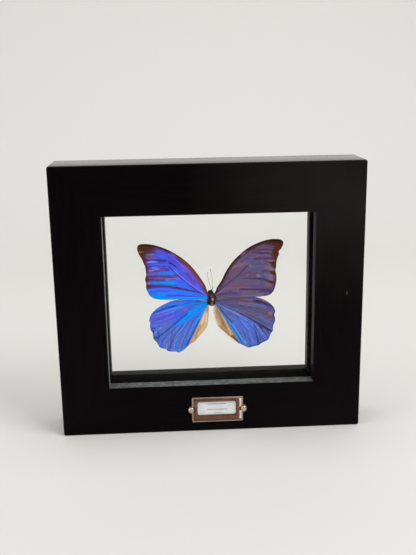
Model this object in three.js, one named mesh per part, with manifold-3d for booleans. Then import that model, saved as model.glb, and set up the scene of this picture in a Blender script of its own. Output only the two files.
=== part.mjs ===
// A butterfly specimen held between two panes of glass in a black wooden frame that stands on
// its own base, with a stamped metal label holder nailed to the lower rail.
// Millimetres, +Z up. The front faces -Y, and the origin is at the middle of the base.
import * as THREE from "three";
import { mergeVertices } from "three/addons/utils/BufferGeometryUtils.js";
import Module from "manifold-3d";

const wasm = await Module();
wasm.setup();

// Frame: four mitred rails, grooved on the inside for the two panes and the spacers between them
const frameWidth = 250;
const frameHeight = 225.5;
const frameDepth = 41;
const sideRail = 40;
const topRail = 40.4;
const bottomRail = 41.3;
const frontLip = 10.7;
const grooveWidth = 20;
const grooveDepth = 5;
const outerEase = 1;
const innerEase = 0.5;
const cornerRound = 1.8;
const mitreGap = 0.3;

// Panes and spacers
const paneThickness = 2;
const fitGap = 0.2;

// Label holder: a hollow stamped plate with a window, an ear and a nail at each side
const holderX = 4.4;
const holderZ = 19.4;
const holderWidth = 42.8;
const holderHeight = 22;
const holderCorner = 0.9;
const windowInset = 5.3;
const windowShift = [-0.7, 1.3];
const earRise = 0.6;
const earReach = 3.4;
const earHalf = 4.15;
const nailOffset = 0.6;
const nailHead = 2.7;
const nailDome = 1.7;
const nailShank = 0.7;
const nailLength = 8;
const nailPlay = 0.3;
const cardWidth = 36.6;
const cardHeight = 15.8;
const cardThickness = 0.35;

// Butterfly
const bodyX = 1.9;
const bodyY = -0.3;
const forewingY = -1.75;
const hindwingY = -0.6;
const wingThickness = 0.4;
const wingRise = 1.2;
const wingReach = 60;
const pleatDepth = 0.22;
const wingRings = [0.16, 0.36, 0.56, 0.76, 0.9, 1];
const foldSlope = 0.5;
const antennaRadius = 0.24;
const clubRadius = 0.42;
const legRadius = 0.3;
const eyeRadius = 1.15;
const eyeOffset = 1.63;
const eyeZ = 116.5;
const thoraxDepth = 4.1;
const glueZ = 111;

const front = -frameDepth / 2;
const back = frameDepth / 2;
const grooveFront = front + frontLip;
const grooveBack = grooveFront + grooveWidth;
const openingLeft = -frameWidth / 2 + sideRail;
const openingRight = frameWidth / 2 - sideRail;
const openingTop = frameHeight - topRail;

const looks = {
  blackWood: { color: 0x121110, roughness: 0.42, metalness: 0 },
  blackCard: { color: 0x0a0a0a, roughness: 0.9, metalness: 0 },
  glass: { color: 0xf4f8f7, roughness: 0.02, metalness: 0, transparent: true, opacity: 0.2 },
  nickel: { color: 0x9a8c7c, roughness: 0.3, metalness: 1 },
  paper: { color: 0xeeeeea, roughness: 0.85, metalness: 0 },
  fur: { color: 0x2a2019, roughness: 0.95, metalness: 0 },
  blueWing: { color: 0x3a4be0, roughness: 0.45, metalness: 0.3 },
  dullWing: { color: 0x6a5488, roughness: 0.45, metalness: 0.3 },
  glue: { color: 0xf2efe6, roughness: 0.15, metalness: 0, transparent: true, opacity: 0.5 },
};

function toSolid(geometry) {
  const bare = geometry.clone();
  bare.deleteAttribute("normal");
  bare.deleteAttribute("uv");
  const merged = mergeVertices(bare, 1e-4);
  const vertProperties = new Float32Array(merged.attributes.position.array);
  const triVerts = new Uint32Array(merged.index.array);
  return new wasm.Manifold(new wasm.Mesh({ numProp: 3, vertProperties, triVerts }));
}

function toGeometry(solid) {
  const mesh = solid.getMesh();
  const geometry = new THREE.BufferGeometry();
  geometry.setAttribute("position", new THREE.BufferAttribute(mesh.vertProperties, 3));
  geometry.setIndex(new THREE.BufferAttribute(mesh.triVerts, 1));
  const faceted = geometry.toNonIndexed();
  faceted.computeVertexNormals();
  return faceted;
}

// A closed body through rings of as many points each. The two ends are shut with fans, or joined
// to each other where the rings run round a hole. Its faces are turned to point outwards.
function loft(rings, runsRound = false) {
  const count = rings[0].length;
  const points = rings.flat();
  const triangles = [];
  const spans = runsRound ? rings.length : rings.length - 1;
  for (let i = 0; i < spans; i++) {
    const near = i * count;
    const far = ((i + 1) % rings.length) * count;
    for (let j = 0; j < count; j++) {
      const k = (j + 1) % count;
      triangles.push([near + j, near + k, far + k], [near + j, far + k, far + j]);
    }
  }
  if (!runsRound) {
    for (const [ring, flip] of [[0, true], [rings.length - 1, false]]) {
      const middle = points.length;
      points.push(centreOf(rings[ring]));
      for (let j = 0; j < count; j++) {
        const pair = [ring * count + j, ring * count + ((j + 1) % count)];
        triangles.push(flip ? [middle, pair[1], pair[0]] : [middle, pair[0], pair[1]]);
      }
    }
  }
  const volume = triangles.reduce((sum, [a, b, c]) => {
    return sum + points[a].dot(new THREE.Vector3().crossVectors(points[b], points[c]));
  }, 0);
  const ordered = volume < 0 ? triangles.map(([a, b, c]) => [a, c, b]) : triangles;
  const geometry = new THREE.BufferGeometry().setFromPoints(points);
  geometry.setIndex(ordered.flat());
  const faceted = geometry.toNonIndexed();
  faceted.computeVertexNormals();
  return faceted;
}

function centreOf(ring) {
  const sum = ring.reduce((total, point) => total.add(point), new THREE.Vector3());
  return sum.divideScalar(ring.length);
}

function named(name, geometry, look) {
  const mesh = new THREE.Mesh(geometry, new THREE.MeshStandardMaterial(looks[look]));
  mesh.name = name;
  return mesh;
}

// A cylinder along Y from one depth to another, for nail holes and notches
function plug(radius, x, z, from, to, sides = 16) {
  const geometry = new THREE.CylinderGeometry(radius, radius, to - from, sides);
  geometry.translate(x, (from + to) / 2, z);
  return toSolid(geometry);
}

// Frame -----------------------------------------------------------------------------------------

// A rail's section: x is the distance out from the opening, y is the depth from front to back.
function railSection(width) {
  const section = new THREE.Shape();
  section.moveTo(innerEase, front);
  section.lineTo(width - outerEase, front);
  section.absarc(width - outerEase, front + outerEase, outerEase, -Math.PI / 2, 0);
  section.lineTo(width, back - outerEase);
  section.absarc(width - outerEase, back - outerEase, outerEase, 0, Math.PI / 2);
  section.lineTo(innerEase, back);
  section.absarc(innerEase, back - innerEase, innerEase, Math.PI / 2, Math.PI);
  section.lineTo(0, grooveBack);
  section.lineTo(grooveDepth, grooveBack);
  section.lineTo(grooveDepth, grooveFront);
  section.lineTo(0, grooveFront);
  section.lineTo(0, front + innerEase);
  section.absarc(innerEase, front + innerEase, innerEase, Math.PI, 1.5 * Math.PI);
  return section;
}

// A rail whose inner face looks up, with mitred ends that meet the rails beside it.
function railGeometry(length, width, startWidth, endWidth) {
  const settings = { depth: length, bevelEnabled: false, curveSegments: 3 };
  const geometry = new THREE.ExtrudeGeometry(railSection(width), settings);
  const position = geometry.attributes.position;
  for (let i = 0; i < position.count; i++) {
    const inward = 1 - position.getX(i) / width;
    const atStart = position.getZ(i) < length / 2;
    const inset = (atStart ? startWidth : endWidth) * inward + mitreGap / 2;
    position.setZ(i, atStart ? inset : length - inset);
  }
  geometry.translate(0, 0, -length / 2);
  geometry.rotateY(Math.PI / 2);
  geometry.computeVertexNormals();
  return geometry;
}

// The outline of the whole frame with its four corners rounded, to trim the rails with
function frameOutline() {
  const right = frameWidth / 2 - cornerRound;
  const top = frameHeight - cornerRound;
  const outline = new THREE.Shape();
  outline.absarc(right, cornerRound, cornerRound, -Math.PI / 2, 0);
  outline.absarc(right, top, cornerRound, 0, Math.PI / 2);
  outline.absarc(-right, top, cornerRound, Math.PI / 2, Math.PI);
  outline.absarc(-right, cornerRound, cornerRound, Math.PI, 1.5 * Math.PI);
  const settings = { depth: frameDepth + 2, bevelEnabled: false, curveSegments: 3 };
  const geometry = new THREE.ExtrudeGeometry(outline, settings);
  geometry.rotateX(Math.PI / 2);
  return toSolid(geometry.translate(0, back + 1, 0));
}

function rails() {
  const middle = frameHeight / 2;
  const places = {
    rail_bottom: [[frameWidth, bottomRail, sideRail, sideRail], 0, [0, 0, bottomRail]],
    rail_top: [[frameWidth, topRail, sideRail, sideRail], Math.PI, [0, 0, openingTop]],
    rail_left: [[frameHeight, sideRail, topRail, bottomRail], Math.PI / 2, [openingLeft, 0, middle]],
    rail_right: [[frameHeight, sideRail, bottomRail, topRail], -Math.PI / 2, [openingRight, 0, middle]],
  };
  const outline = frameOutline();
  return Object.entries(places).map(([name, [sizes, turn, place]]) => {
    const placed = railGeometry(...sizes).rotateY(turn).translate(...place);
    let rail = toSolid(placed).intersect(outline);
    for (const x of name === "rail_bottom" ? nailPlaces() : []) {
      rail = rail.subtract(plug(nailShank + nailPlay, x, holderZ, front - 1, front + nailLength));
    }
    return named(name, toGeometry(rail), "blackWood");
  });
}

// A box given by its lowest and highest corners
function block(low, high) {
  const size = high.map((value, axis) => value - low[axis]);
  const geometry = new THREE.BoxGeometry(...size);
  return geometry.translate(...low.map((value, axis) => value + size[axis] / 2));
}

function pane(name, from) {
  const reach = grooveDepth - fitGap;
  const low = [openingLeft - reach, from, bottomRail - reach];
  const high = [openingRight + reach, from + paneThickness, openingTop + reach];
  return named(name, block(low, high), "glass");
}

const paneFrontY = grooveFront + fitGap;
const paneBackY = grooveBack - fitGap - paneThickness;

function panes() {
  return [pane("glass_front", paneFrontY), pane("glass_back", paneBackY)];
}

// Four strips that line the space between the panes, flush with the lips of the rails
function spacers() {
  const from = paneFrontY + paneThickness + fitGap;
  const to = paneBackY - fitGap;
  const reach = grooveDepth - fitGap;
  const strips = {
    spacer_bottom: [[openingLeft - reach, bottomRail - reach], [openingRight + reach, bottomRail]],
    spacer_top: [[openingLeft - reach, openingTop], [openingRight + reach, openingTop + reach]],
    spacer_left: [[openingLeft - reach, bottomRail + fitGap], [openingLeft, openingTop - fitGap]],
    spacer_right: [[openingRight, bottomRail + fitGap], [openingRight + reach, openingTop - fitGap]],
  };
  return Object.entries(strips).map(([name, [low, high]]) => {
    return named(name, block([low[0], from, low[1]], [high[0], to, high[1]]), "blackCard");
  });
}

// Label holder ----------------------------------------------------------------------------------

function nailPlaces() {
  const reach = holderWidth / 2 + nailOffset;
  return [holderX - reach, holderX + reach];
}

// A rounded rectangle round the label, at a height above the face of the rail. The window sits
// off the plate's centre, so the loops shift towards it the further in they lie.
function labelLoop(inset, height) {
  const radius = Math.max(holderCorner - inset / 3, 0.3);
  const share = inset / windowInset;
  const middleX = holderX + windowShift[0] * share;
  const middleZ = holderZ + windowShift[1] * share;
  const corners = [[1, 1], [-1, 1], [-1, -1], [1, -1]];
  return corners.flatMap(([signX, signZ], quarter) => {
    return [0, 1, 2].map((step) => {
      const angle = ((quarter + step / 2) * Math.PI) / 2;
      const x = middleX + signX * (holderWidth / 2 - inset - radius) + radius * Math.cos(angle);
      const z = middleZ + signZ * (holderHeight / 2 - inset - radius) + radius * Math.sin(angle);
      return new THREE.Vector3(x, front - height, z);
    });
  });
}

// From the outer edge over the raised band to the window, then back underneath: inset, height
const holderProfile = [
  [0, 0], [0, 0.5], [1.3, 0.7], [2.9, 1.95], [3.5, 2.2], [4.3, 2.2], [5.1, 1.8], [windowInset, 1.3],
  [4.9, 1.1], [3.9, 1.4], [3.2, 1.2], [2.2, 0.5], [2.0, 0],
];

function earGeometry(side) {
  const ear = new THREE.Shape();
  const edge = (side * holderWidth) / 2;
  ear.moveTo(edge - side, -earHalf);
  ear.lineTo(edge, -earHalf);
  ear.quadraticCurveTo(edge + side * earReach * 0.9, -earHalf * 0.45, edge + side * earReach, 0);
  ear.quadraticCurveTo(edge + side * earReach * 0.9, earHalf * 0.45, edge, earHalf);
  ear.lineTo(edge - side, earHalf);
  const settings = { depth: earRise, bevelEnabled: false, curveSegments: 4 };
  const geometry = new THREE.ExtrudeGeometry(ear, settings);
  geometry.rotateX(Math.PI / 2);
  return geometry.translate(holderX, front, holderZ);
}

function labelHolder() {
  let holder = toSolid(loft(holderProfile.map(([inset, height]) => labelLoop(inset, height)), true));
  for (const side of [-1, 1]) holder = holder.add(toSolid(earGeometry(side)));
  for (const x of nailPlaces()) {
    holder = holder.subtract(plug(nailHead + nailPlay, x, holderZ, front - 4, front - earRise - 0.15));
    holder = holder.subtract(plug(nailShank + nailPlay, x, holderZ, front - 2, front + 1));
  }
  return named("label_holder", toGeometry(holder), "nickel");
}

function labelCard() {
  const middleX = holderX + windowShift[0] / 2;
  const middleZ = holderZ + windowShift[1] / 2;
  const low = [middleX - cardWidth / 2, front - 0.2 - cardThickness, middleZ - cardHeight / 2];
  const high = [middleX + cardWidth / 2, front - 0.2, middleZ + cardHeight / 2];
  return named("label_card", block(low, high), "paper");
}

// A domed nail that holds an ear of the label holder down
function nail(name, x) {
  const seat = earRise + 0.3;
  const profile = [new THREE.Vector2(0, seat + nailDome)];
  for (const angle of [66, 44, 22, 0]) {
    const turn = THREE.MathUtils.degToRad(angle);
    profile.push(new THREE.Vector2(nailHead * Math.cos(turn), seat + nailDome * Math.sin(turn)));
  }
  profile.push(new THREE.Vector2(nailShank, seat - 0.1));
  profile.push(new THREE.Vector2(nailShank, -nailLength + 2.5));
  profile.push(new THREE.Vector2(0, -nailLength + 1));
  const mesh = named(name, new THREE.LatheGeometry(profile.reverse(), 14), "nickel");
  mesh.rotation.x = Math.PI;
  mesh.position.set(x, front, holderZ);
  return mesh;
}

// Butterfly -------------------------------------------------------------------------------------

// Each wing: the point its veins spread from and its outline as x, z, from the front edge at the
// body out round the tip and back to the body. A hindwing also has the line along which its inner
// part folds back beside the body.
const wings = {
  forewing_left: {
    root: [-2.6, 113.3], veins: 11, depth: forewingY, look: "blueWing",
    outline: [
      [-1.7, 115.8], [-2.9, 121.4], [-5.2, 125.7], [-9.8, 133], [-15, 139.8], [-19.8, 144.4],
      [-24.8, 148.4], [-29.8, 151.6], [-34.8, 154.4], [-40.7, 156.8], [-47.3, 158.6], [-52.8, 159.2],
      [-56.9, 158.6], [-58.4, 155.3], [-57.1, 150.6], [-55, 146.9], [-54, 144], [-52.5, 140.3],
      [-51.9, 135.3], [-51.9, 132.8], [-52.8, 129.4], [-52.1, 126], [-52.2, 121.9], [-51.1, 118.8],
      [-49.4, 115.5], [-46.1, 112.9], [-41.1, 111.6], [-34.8, 111.1], [-25, 111.1], [-14, 110.9],
      [-5, 110.2], [-1.8, 110],
    ],
  },
  forewing_right: {
    root: [6.5, 113.4], veins: 11, depth: forewingY, look: "dullWing",
    outline: [
      [5.4, 116.2], [6.6, 120.8], [10.3, 126.3], [14.7, 135.1], [20.1, 142.6], [25.1, 147.7],
      [30.1, 151.8], [35.1, 155], [40.1, 157.4], [45.1, 159.1], [50.1, 160.2], [55.1, 160.5],
      [59.7, 159.6], [61.5, 156.8], [59.8, 152.4], [57.6, 149.8], [58.1, 147.9], [56.8, 144.8],
      [55.9, 141], [55.7, 137.3], [55.1, 133.9], [55.8, 130.2], [56, 126.8], [55.6, 123],
      [54.3, 118], [52.6, 115], [50, 112.9], [45.1, 111.8], [38, 111.5], [28, 111.6], [18, 111.1],
      [10, 110.3], [5.6, 109.9],
    ],
  },
  hindwing_left: {
    root: [-3, 106.6], veins: 10, depth: hindwingY, look: "blueWing",
    foldLine: [[-1.8, 104.4], [-17.3, 71.9]],
    outline: [
      [-1.5, 109.6], [-10.2, 111.2], [-20.2, 111.2], [-30.2, 109.9], [-36, 108], [-40, 106],
      [-43.5, 103.9], [-46.8, 101.1], [-48.7, 98.9], [-50.1, 96.1], [-50.7, 93.7], [-50, 91.4],
      [-50.2, 88.6], [-49.8, 85.2], [-48.3, 82.7], [-47.8, 79.4], [-47.5, 76.9], [-45.6, 74.5],
      [-44, 72.3], [-42.9, 69.9], [-41, 68.6], [-37.7, 67.8], [-36, 66], [-33.5, 65.2], [-29.3, 65.1],
      [-26.8, 64.2], [-24.3, 65.1], [-21.4, 67.1], [-18.5, 69.6], [-16, 71.4], [-12.3, 73.5],
      [-8.9, 77.4], [-6, 80], [-2.9, 83.9], [-1.6, 88.4], [-1, 93], [-0.8, 98], [-1.2, 103.8],
    ],
  },
  hindwing_right: {
    root: [6.6, 106.8], veins: 10, depth: hindwingY, look: "dullWing",
    foldLine: [[5.5, 104.2], [25.6, 70]],
    outline: [
      [5.3, 109.5], [10, 110.9], [20, 111.6], [30, 111.6], [40, 110.7], [45, 109], [49.3, 106.5],
      [52.6, 103.6], [54.5, 100.6], [55.2, 97.8], [54.5, 95.2], [55.1, 92.6], [55.1, 89.2],
      [54, 86.6], [53.4, 84], [53.5, 81.1], [51.8, 78.6], [50.9, 76.1], [49.5, 73.3], [47.2, 71.9],
      [44.3, 70.6], [41.3, 68.3], [37.2, 67.4], [33, 66.5], [30.2, 67.6], [27.2, 69.2],
      [24.7, 70.2], [22.6, 71.7], [19.3, 74.3], [14.7, 77.8], [11.8, 80.6], [8.2, 83.8],
      [6, 87.6], [4.8, 92.8], [3.6, 97.8], [3.2, 101.4], [4.6, 103.9],
    ],
  },
};

// How far a point lies past the fold line, towards the body
function pastFold([[startX, startZ], [endX, endZ]], x, z, side) {
  const run = Math.hypot(endX - startX, endZ - startZ);
  const across = ((endX - startX) * (z - startZ) - (endZ - startZ) * (x - startX)) / run;
  return Math.max(0, -side * across);
}

function wingGeometry({ root, veins, depth, foldLine, outline }) {
  const side = Math.sign(root[0] - bodyX);
  const loop = new THREE.CatmullRomCurve3(
    outline.map(([x, z]) => new THREE.Vector3(x, 0, z)), true, "centripetal");
  const rim = loop.getPoints(outline.length * 2).slice(0, -1);
  const centre = new THREE.Vector3(root[0], 0, root[1]);
  const ringAt = (share, offset) => rim.map((edge, index) => {
    const point = centre.clone().lerp(edge, share);
    const rise = (wingRise * Math.abs(point.x - bodyX)) / wingReach;
    const pleat = pleatDepth * share * Math.cos((2 * Math.PI * veins * index) / rim.length);
    const fold = foldLine ? foldSlope * pastFold(foldLine, point.x, point.z, side) : 0;
    point.y = depth - rise + pleat + fold + offset;
    return point;
  });
  const face = wingRings.map((share) => ringAt(share, -wingThickness / 2));
  const underside = wingRings.map((share) => ringAt(share, wingThickness / 2)).reverse();
  return loft([...face, ...underside]);
}

// A tube with a given radius at each of its points, seen as rings square to its path
function tube(path, radii, sides) {
  const curve = new THREE.CatmullRomCurve3(path.map((point) => new THREE.Vector3(...point)));
  const steps = radii.length - 1;
  const frames = curve.computeFrenetFrames(steps);
  return loft(radii.map((radius, index) => {
    const middle = curve.getPointAt(index / steps);
    return Array.from({ length: sides }, (_, corner) => {
      const angle = (2 * Math.PI * corner) / sides;
      return middle.clone()
        .addScaledVector(frames.normals[index], radius * Math.cos(angle))
        .addScaledVector(frames.binormals[index], radius * Math.sin(angle));
    });
  }));
}

const antennae = {
  antenna_left: [[1.2, -1.5, 118.1], [-0.5, -2, 126.4], [-1.4, -2.5, 131], [-1.2, -2.8, 133.8]],
  antenna_right: [[2.8, -1.5, 118.1], [2.7, -2.1, 127.4], [1.6, -2.6, 133.4], [1, -2.9, 136.5]],
};

function antenna([name, path]) {
  const radii = Array.from({ length: 13 }, (_, step) => {
    const club = Math.max(0, 1 - Math.abs(step - 11) / 3);
    return antennaRadius + (clubRadius - antennaRadius) * club;
  });
  return named(name, tube(path, radii, 5), "fur");
}

// Rings of the trunk from the cut end of the thorax up to the brow: height, half width, half depth
const trunkRings = [
  [104.9, 1.4, 1.6], [105.8, 2.3, 2.6], [107.6, 3, 3.5], [110, 3.3, 4], [112.6, 3.3, 4.1],
  [114.4, 3, 3.6], [115.3, 2.3, 2.7], [115.8, 2, 2.2], [116.5, 2.1, 2.3], [117.3, 1.8, 1.9],
  [117.9, 1, 1.1],
];

// The two palps between the antennae: where each leaves the brow, and its tip
const palpPaths = [
  [[-0.4, 0.4, 117.3], [0.35, -0.3, 118.9]],
  [[0.5, 0.4, 117.3], [1.1, -0.3, 119.3]],
];

// The walking legs, folded under the thorax: thigh, shin and foot on each side
const legPaths = [
  [[1.2, 3.2, 112.8], [2.6, 4.6, 113.6], [2.1, 4.9, 110.2], [0.9, 4.9, 107.4]],
  [[1, 3, 109.6], [2.3, 4.4, 108.6], [1.5, 4.8, 105.8], [0.7, 4.6, 103.4]],
];

function trunk() {
  const sides = 16;
  const rings = trunkRings.map(([z, halfWidth, halfDepth]) => {
    return Array.from({ length: sides }, (_, corner) => {
      const angle = (2 * Math.PI * corner) / sides;
      const x = bodyX + halfWidth * Math.cos(angle);
      return new THREE.Vector3(x, bodyY + halfDepth * Math.sin(angle), z);
    });
  });
  const placed = (path, side) => path.map(([x, y, z]) => [bodyX + side * x, bodyY + y, z]);
  let solid = toSolid(loft(rings));
  for (const side of [-1, 1]) {
    const eye = new THREE.SphereGeometry(eyeRadius, 10, 6);
    eye.translate(bodyX + side * eyeOffset, bodyY - 0.2, eyeZ);
    solid = solid.add(toSolid(eye));
    for (const path of legPaths) {
      solid = solid.add(toSolid(tube(placed(path, side), Array(8).fill(legRadius), 5)));
    }
  }
  for (const path of palpPaths) {
    solid = solid.add(toSolid(tube(placed(path, 1), [0.5, 0.45, 0.2], 6)));
  }
  return named("thorax_and_head", toGeometry(solid), "fur");
}

// A dab of clear glue that holds the thorax to the rear pane
function glueDab() {
  const near = bodyY + thoraxDepth + fitGap;
  const rest = paneBackY - fitGap;
  const profile = [
    [0, near], [1, near], [1.2, near + 0.6], [1.5, near + 1.4], [2.2, rest - 0.6], [2.8, rest], [0, rest],
  ];
  const points = profile.map(([radius, depth]) => new THREE.Vector2(radius, depth));
  const geometry = new THREE.LatheGeometry(points, 12);
  geometry.translate(bodyX, 0, glueZ);
  return named("glue_dab", geometry, "glue");
}

const specimen = new THREE.Group();
specimen.add(trunk(), glueDab(), ...Object.entries(antennae).map(antenna));
for (const [name, wing] of Object.entries(wings)) {
  specimen.add(named(name, wingGeometry(wing), wing.look));
}

const label = new THREE.Group();
const [leftNailX, rightNailX] = nailPlaces();
label.add(labelHolder(), labelCard(), nail("nail_left", leftNailX), nail("nail_right", rightNailX));

const framedButterfly = new THREE.Group();
framedButterfly.add(...rails(), ...panes(), ...spacers(), label, specimen);

export default framedButterfly;
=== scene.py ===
import math
import random

import bmesh
import bpy
import numpy as np
from mathutils import Matrix, Vector, noise


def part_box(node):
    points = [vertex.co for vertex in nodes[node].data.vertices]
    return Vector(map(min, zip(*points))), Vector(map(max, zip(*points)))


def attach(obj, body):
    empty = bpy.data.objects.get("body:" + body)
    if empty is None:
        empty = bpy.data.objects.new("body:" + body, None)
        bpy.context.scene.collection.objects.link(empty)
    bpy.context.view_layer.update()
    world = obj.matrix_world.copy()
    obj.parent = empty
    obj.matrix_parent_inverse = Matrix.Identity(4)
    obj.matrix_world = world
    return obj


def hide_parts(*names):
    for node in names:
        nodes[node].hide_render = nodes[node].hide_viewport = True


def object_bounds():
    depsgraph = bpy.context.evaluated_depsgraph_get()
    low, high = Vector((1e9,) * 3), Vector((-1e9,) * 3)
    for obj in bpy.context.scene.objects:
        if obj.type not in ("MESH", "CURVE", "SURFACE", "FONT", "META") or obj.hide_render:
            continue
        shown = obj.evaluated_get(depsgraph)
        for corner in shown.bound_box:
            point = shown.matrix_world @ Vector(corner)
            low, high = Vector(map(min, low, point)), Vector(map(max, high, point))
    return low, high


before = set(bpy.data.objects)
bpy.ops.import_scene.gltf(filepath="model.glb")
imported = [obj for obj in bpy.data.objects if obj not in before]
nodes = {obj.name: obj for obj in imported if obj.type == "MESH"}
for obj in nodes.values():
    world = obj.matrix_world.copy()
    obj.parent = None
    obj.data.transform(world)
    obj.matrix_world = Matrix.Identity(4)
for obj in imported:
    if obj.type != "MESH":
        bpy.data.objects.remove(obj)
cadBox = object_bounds()
mm = 0.001
quarterTurn = Matrix.Rotation(math.pi / 2, 4, "X")  # x, y up, z towards the viewer -> row frame


def boxMm(node):
    low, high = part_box(node)
    return low / mm, high / mm


# colours are written as 0-255 screen values and turned to linear here

def linear(colour):
    scaled = np.asarray(colour, float) / 255
    return np.where(scaled <= 0.04045, scaled / 12.92, ((scaled + 0.055) / 1.055) ** 2.4)


def rgba(colour):
    return (*linear(colour), 1.0)


# objects

def addObject(name, data):
    made = bpy.data.objects.new(name, data)
    bpy.context.scene.collection.objects.link(made)
    return made


def meshFrom(bm, name, materials=()):
    mesh = bpy.data.meshes.new(name)
    bm.to_mesh(mesh)
    bm.free()
    for material in materials:
        mesh.materials.append(material)
    mesh.shade_smooth()
    return mesh


def makePiece(name, bm, materials, replaced=(), sharpAngle=40, place=None):
    if place is not None:
        bmesh.ops.transform(bm, matrix=place, verts=bm.verts)
    bmesh.ops.scale(bm, vec=(mm, mm, mm), verts=bm.verts)
    mesh = meshFrom(bm, name, materials)
    mesh.set_sharp_from_angle(angle=math.radians(sharpAngle))
    piece = addObject(name, mesh)
    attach(piece, "root")
    if replaced:
        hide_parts(*replaced)
    return piece


def addModifier(piece, kind, **settings):
    modifier = piece.modifiers.new(kind.title(), kind)
    for name, value in settings.items():
        setattr(modifier, name, value)


def dress(node, material):
    mesh = nodes[node].data
    mesh.materials.clear()
    mesh.materials.append(material)
    return nodes[node]


def joinUp(bm, points):
    verts = [bm.verts.new(point) for point in points]
    return verts, [bm.edges.new(pair) for pair in zip(verts, verts[1:])]


def spinAround(points, axis, steps):
    bm = bmesh.new()
    verts, edges = joinUp(bm, points)
    bmesh.ops.spin(bm, geom=verts + edges, cent=(0, 0, 0), axis=axis, angle=2 * math.pi, steps=steps,
                   use_merge=True)
    bmesh.ops.remove_doubles(bm, verts=bm.verts, dist=1e-4)
    bmesh.ops.recalc_face_normals(bm, faces=bm.faces)
    return bm


# a smooth curve through points, for arrays and for vectors
def curveAt(before, start, end, after, part):
    return 0.5 * (2 * start + (end - before) * part
                  + (2 * before - 5 * start + 4 * end - after) * part ** 2
                  + (3 * start - before - 3 * end + after) * part ** 3)


# material helpers

def newMaterial(name, **sockets):
    material = bpy.data.materials.new(name)
    material.use_nodes = True
    tree = material.node_tree
    shader = tree.nodes["Principled BSDF"]
    for socket, value in sockets.items():
        shader.inputs[socket.replace("_", " ")].default_value = value
    return material, tree, shader


def connect(tree, shader, **sockets):
    for socket, value in sockets.items():
        tree.links.new(value, shader.inputs[socket.replace("_", " ")])


def addNode(tree, kind, inputs=None, **settings):
    node = tree.nodes.new("ShaderNode" + kind)
    for name, value in settings.items():
        setattr(node, name, value)
    for name, value in (inputs or {}).items():
        if isinstance(value, bpy.types.NodeSocket):
            tree.links.new(value, node.inputs[name])
        else:
            node.inputs[name].default_value = value
    return node


def mapRange(tree, value, low, high, toLow, toHigh):
    limits = {"Value": value, "From Min": low, "From Max": high, "To Min": toLow, "To Max": toHigh}
    return addNode(tree, "MapRange", limits).outputs["Result"]


def stretched(tree, vector, scale):
    return addNode(tree, "Mapping", {"Vector": vector, "Scale": scale}).outputs["Vector"]


def objectPlace(tree, scale=(1, 1, 1)):
    return stretched(tree, addNode(tree, "TexCoord").outputs["Object"], scale)


def attributeOf(tree, name, output="Color"):
    return addNode(tree, "Attribute", attribute_name=name).outputs[output]


def mixColour(tree, factor, first, second):
    return addNode(tree, "Mix", {0: factor, 6: first, 7: second}, data_type="RGBA").outputs[2]


def calculate(tree, operation, *values):
    return addNode(tree, "Math", dict(enumerate(values)), operation=operation).outputs[0]


def multiply(tree, first, second):
    return calculate(tree, "MULTIPLY", first, second)


def add(tree, first, second):
    return calculate(tree, "ADD", first, second)


def noiseOf(tree, vector, scale, detail=2.0, roughness=0.5):
    inputs = {"Vector": vector, "Scale": scale, "Detail": detail, "Roughness": roughness}
    return addNode(tree, "TexNoise", inputs).outputs["Fac"]


def cellsOf(tree, vector, scale):
    return addNode(tree, "TexVoronoi", {"Vector": vector, "Scale": scale}).outputs["Distance"]


def bumpOf(tree, height, distance, strength, **more):
    inputs = {"Height": height, "Distance": distance, "Strength": strength, **more}
    return addNode(tree, "Bump", inputs).outputs["Normal"]


def makeSurfaceNoise():
    group = bpy.data.node_groups.new("surfaceNoise", "ShaderNodeTree")
    sockets = {"INPUT": {"Vector": "Vector", "Broad Scale": "Float", "Fine Scale": "Float", "Bump": "Float"},
               "OUTPUT": {"Broad": "Float", "Fine": "Float", "Normal": "Vector"}}
    for way, labels in sockets.items():
        for label, kind in labels.items():
            group.interface.new_socket(label, in_out=way, socket_type="NodeSocket" + kind)
    given = group.nodes.new("NodeGroupInput").outputs
    result = group.nodes.new("NodeGroupOutput").inputs
    broad = noiseOf(group, given["Vector"], given["Broad Scale"])
    fine = noiseOf(group, given["Vector"], given["Fine Scale"], 4.0)
    normal = bumpOf(group, fine, 0.0002, given["Bump"])
    for label, value in (("Broad", broad), ("Fine", fine), ("Normal", normal)):
        group.links.new(value, result[label])
    return group


surfaceNoise = makeSurfaceNoise()


def addNoise(tree, vector, broad, fine, bump):
    inputs = {"Vector": vector, "Broad Scale": broad, "Fine Scale": fine, "Bump": bump}
    return addNode(tree, "Group", inputs, node_tree=surfaceNoise).outputs


# camera

cameraSpec = {"place": (-34.1, -628.1, 294.0), "yaw": 3.038, "pitch": 14.740, "roll": 0.9165,
              "lens": 50.77, "sensor": 36}


def makeCamera(spec):
    yaw, pitch, roll = (math.radians(spec[name]) for name in ("yaw", "pitch", "roll"))
    level = math.cos(pitch)
    forward = Vector((math.sin(yaw) * level, math.cos(yaw) * level, -math.sin(pitch)))
    right = Vector((math.cos(yaw), -math.sin(yaw), 0))
    down = forward.cross(right)
    rolledRight = right * math.cos(roll) + down * math.sin(roll)
    up = right * math.sin(roll) - down * math.cos(roll)
    data = bpy.data.cameras.new("camera")
    data.lens = spec["lens"]
    data.sensor_width = spec["sensor"]
    camera = addObject("camera", data)
    turn = Matrix((rolledRight, up, -forward)).transposed().to_4x4()
    camera.matrix_world = Matrix.Translation(Vector(spec["place"]) * mm) @ turn
    bpy.context.scene.camera = camera


makeCamera(cameraSpec)
print("camera placed")


# frame rails: the lip values paint a light grey sheen on the front and the back of each inner face, and the
# top value paints sheen on the top face

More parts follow.
